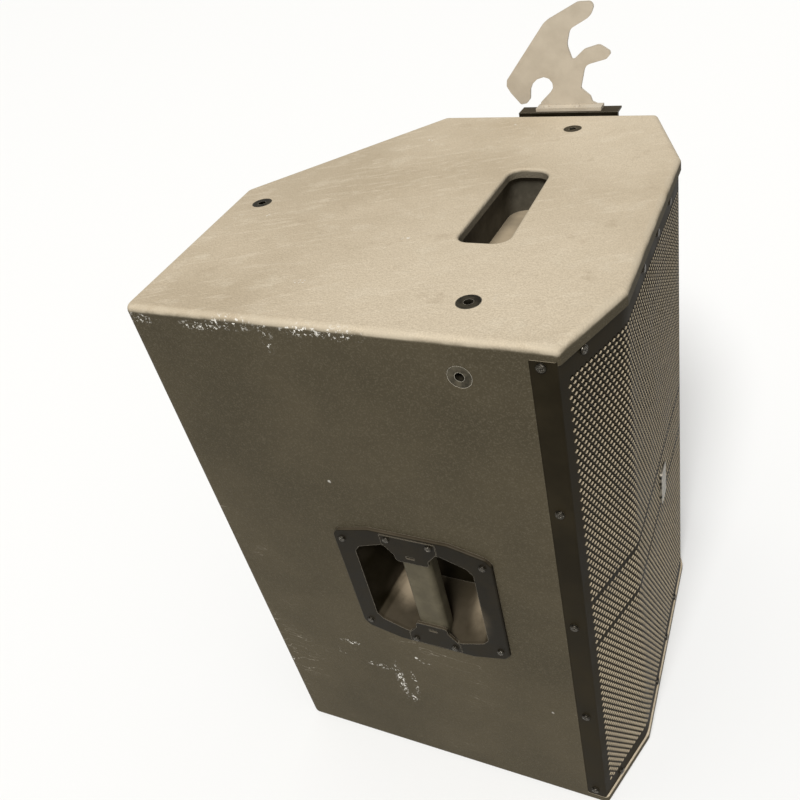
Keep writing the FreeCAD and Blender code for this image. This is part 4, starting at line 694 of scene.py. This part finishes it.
# ================================================================ soft linings
def eased(distance, reach):
    """0 at an edge, rounding up to 1 at reach from it."""
    t = min(max(distance / reach, 0.0), 1.0)
    return math.sqrt(t * (2 - t))


def pad(name, place, width, height, step, skins, material, replaced):
    """A closed pad: place(u, v, w) puts a point, and the two skins give w over it."""
    across = round(width / step)
    up = round(height / step)
    mesh = bmesh.new()
    grids = []
    for skin in skins:
        spots = [[(width * i / across, height * j / up) for i in range(across + 1)] for j in range(up + 1)]
        grids.append([[mesh.verts.new(place(u, v, skin(u, v))) for u, v in row] for row in spots])
    for grid in grids:
        for j in range(up):
            for i in range(across):
                mesh.faces.new((grid[j][i], grid[j][i + 1], grid[j + 1][i + 1], grid[j + 1][i]))
    rims = []
    for grid in grids:
        far_side = [row[-1] for row in grid[:-1]]
        near_side = [row[0] for row in grid[:0:-1]]
        rims.append(grid[0][:-1] + far_side + grid[-1][:0:-1] + near_side)
    for i in range(len(rims[0])):
        mesh.faces.new((rims[0][i - 1], rims[0][i], rims[1][i], rims[1][i - 1]))
    bmesh.ops.recalc_face_normals(mesh, faces=mesh.faces)
    shown = smooth(piece(name, mesh, material, "cabinet", replaced), 70.0)


def build_foam(material):
    """Thin open foam behind the grille, dimpled and soft at its edges."""
    low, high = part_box("grille_foam")
    lean = math.tan(chamfer_lean)
    corners = set_back(grille_plan()[1:5], sheet_thickness + 0.2 * MM)
    inner = corners[1:3]
    corners = [Vector((inner[0].x - (inner[0].y - low.y) * lean, low.y, 0)), *inner,
               Vector((inner[1].x - (high.y - inner[1].y) * lean, high.y, 0))]
    path = rounded_path(corners, (face_radius, face_radius))
    width = path[1][-1]
    height = high.z - low.z
    middle = -foam_depth / 2

    def place(u, v, w):
        point, out = along_path(path, u)
        point = point + out * w
        return (max(point.x, low.x), min(max(point.y, low.y), high.y), low.z + v)

    def fullness(u, v):
        return eased(min(u, width - u, v, height - v) + 1.5 * MM, 9.0 * MM) * foam_depth / 2

    def front(u, v):
        dimple = noise.noise(Vector((u, v, 3.0)) / 0.011) * 0.5 + 0.5
        return middle + fullness(u, v) - dimple * foam_dimple

    def back(u, v):
        return middle - fullness(u, v)

    pad("grille_foam_pad", place, width, height, foam_step, (back, front), material, ["grille_foam"])


def build_wadding(material):
    """Two loose pads stapled inside the rear walls, drawn down at every staple."""
    low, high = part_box("acoustic_wadding")
    spots = {(round(v.co.x, 4), round(v.co.y, 4)) for v in nodes["acoustic_wadding"].data.vertices}
    spots = [Vector((*spot, 0)) for spot in sorted(spots, key=lambda spot: spot[1])]
    height = high.z - low.z
    slabs = ([s for s in spots if s.y < wadding_parting], [s for s in spots if s.y > wadding_parting])
    for index, (slab, heading) in enumerate(zip(slabs, wadding_headings)):
        out = Vector((math.cos(math.radians(heading)), math.sin(math.radians(heading)), 0))
        along = Vector((0, 0, 1)).cross(out)
        start = min(spot.dot(along) for spot in slab)
        wall = max(spot.dot(out) for spot in slab)
        width = max(spot.dot(along) for spot in slab) - start
        across_count = max(1, round(width / staple_pitch))
        up_count = max(1, round(height / staple_pitch))
        staples = [(width * (i + 0.5) / across_count, height * (j + 0.5) / up_count)
                   for i in range(across_count) for j in range(up_count)]

        def place(u, v, w):
            point = along * (start + u) + out * (wall - w)
            return (point.x, point.y, low.z + v)

        def front(u, v):
            rolled = eased(min(u, width - u, v, height - v), 30 * MM)
            drawn = min(eased(math.hypot(u - a, v - b), staple_reach * 2) for a, b in staples)
            loose = (noise.noise(Vector((u, v, index * 2.0)) / 0.05) - 1.0) * 1.2 * MM
            swell = (wadding_depth - wadding_edge) * rolled * (0.45 + 0.55 * drawn)
            return wadding_edge + swell + loose * rolled

        pad("wadding_pad_%d" % (index + 1), place, width, height, wadding_step, (lambda u, v: 0.0, front),
            material, ["acoustic_wadding"])


# ================================================================ woofer suspension
def sector(name, outline, centre, first, material, replaced):
    """One sector of a ring of treated cloth, which follows the frame outside and the cone inside."""
    mesh = bmesh.new()
    span = 2 * math.pi / sector_count
    rings = []
    for k in range(sector_steps + 1):
        angle = first + span * k / sector_steps
        rings.append([mesh.verts.new((centre.x + x, centre.y + r * math.cos(angle),
                                      centre.z + r * math.sin(angle)))
                      for r, x in outline])
    for ring, after in zip(rings, rings[1:]):
        for i in range(len(outline)):
            mesh.faces.new((ring[i - 1], ring[i], after[i], after[i - 1]))
    mesh.faces.new(rings[0])
    mesh.faces.new(rings[-1][::-1])
    bmesh.ops.recalc_face_normals(mesh, faces=mesh.faces)
    shown = smooth(piece(name, mesh, material, None, replaced), 50.0)
    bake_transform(shown)


def build_suspension(material):
    """The half-roll surround and the corrugated spider, each in sectors."""
    low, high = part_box("woofer_surround")
    centre = Vector((low.x, (low.y + high.y) / 2, (low.z + high.z) / 2))
    outer_radius = (high.y - low.y) / 2
    roll_middle = (roll_inner + roll_outer) / 2
    roll_radius = (roll_outer - roll_inner) / 2
    arc = [math.pi * i / 12 for i in range(13)]
    under = [(roll_middle - (roll_radius - cloth_thickness) * math.cos(a),
              (roll_radius - cloth_thickness) * math.sin(a)) for a in arc]
    over = [(roll_middle - roll_radius * math.cos(a), cloth_thickness + roll_radius * math.sin(a))
            for a in arc]
    outline = [(surround_inner, 0), *under, (outer_radius, 0), (outer_radius, cloth_thickness), *over[::-1],
               (surround_inner, cloth_thickness)]
    for k in range(sector_count):
        sector("surround_sector_%d" % (k + 1), outline, centre, 2 * math.pi * k / sector_count,
               material, ["woofer_surround"])
    low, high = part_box("woofer_spider")
    centre = Vector((low.x, (low.y + high.y) / 2, (low.z + high.z) / 2))
    swing = (high.x - low.x - spider_thickness) / 2
    wave_start, wave_end = spider_waves
    count = spider_wave_count * 8
    wave = []
    for i in range(count + 1):
        t = i / count
        wave.append((wave_start + (wave_end - wave_start) * t,
                     swing * (1 + 0.98 * math.sin(2 * math.pi * spider_wave_count * t))))
    lower = [(spider_inner, swing), *wave, (spider_outer, swing)]
    outline = lower + [(r, x + spider_thickness) for r, x in lower[::-1]]
    for k in range(sector_count):
        sector("spider_sector_%d" % (k + 1), outline, centre, 2 * math.pi * k / sector_count,
               material, ["woofer_spider"])


# ================================================================ scene
def build_stage():
    """A plain pale floor under soft light."""
    floor_mesh = bmesh.new()
    bmesh.ops.create_grid(floor_mesh, x_segments=1, y_segments=1, size=12.0)
    mesh = bpy.data.meshes.new("studio_floor")
    floor_mesh.to_mesh(mesh)
    floor_mesh.free()
    floor = bpy.data.objects.new("studio_floor", mesh)
    bpy.context.scene.collection.objects.link(floor)
    finish = Finish("studio_paper")
    mesh.materials.append(finish.done((0.86, 0.86, 0.85, 1.0), 0.9))
    world = bpy.data.worlds.new("studio_air")
    world.use_nodes = True
    world.node_tree.nodes["Background"].inputs["Color"].default_value = (1.0, 0.98, 0.95, 1.0)
    world.node_tree.nodes["Background"].inputs["Strength"].default_value = 0.32
    bpy.context.scene.world = world
    add_light("ceiling_window", (0.12, -0.7, 1.0), 24.0, 3.3)


def add_light(name, towards, spread, strength):
    """A distant broad lamp in the given direction from the object."""
    lamp = bpy.data.lights.new(name, "SUN")
    lamp.angle = math.radians(spread)
    lamp.energy = strength
    shown = bpy.data.objects.new(name, lamp)
    shown.rotation_euler = (-Vector(towards)).to_track_quat("-Z", "Y").to_euler()
    bpy.context.scene.collection.objects.link(shown)


def add_camera():
    """A close wide view from above the handle side, held a little askew."""
    bearing = math.radians(-64.65)
    height = math.radians(32.86)
    roll = math.radians(-9.31)
    distance = 0.977
    aim = Vector((0.0085, 0.0766, 0.4515))
    back = Vector((math.cos(height) * math.cos(bearing), math.cos(height) * math.sin(bearing),
                   math.sin(height)))
    level = Vector((0, 0, 1)).cross(back).normalized()
    right = Matrix.Rotation(roll, 3, back) @ level
    up = back.cross(right)
    lens = bpy.data.cameras.new("camera")
    lens.sensor_width = 36.0
    lens.lens = 34.4
    lens.shift_x = -0.1175
    lens.shift_y = -0.1
    lens.clip_start = 0.02
    camera = bpy.data.objects.new("camera", lens)
    place = aim + back * distance
    camera.matrix_world = Matrix([(right[i], up[i], back[i], place[i]) for i in range(3)] + [(0, 0, 0, 1)])
    bpy.context.scene.collection.objects.link(camera)
    bpy.context.scene.camera = camera


paint_cad_nodes()
build_grille(nodes["connector_plate"].data.materials[0])
build_foam(nodes["grille_foam"].data.materials[0])
build_wadding(nodes["acoustic_wadding"].data.materials[0])
build_suspension(nodes["woofer_surround"].data.materials[0])
build_stage()
add_camera()
bpy.context.scene.view_settings.view_transform = "Standard"
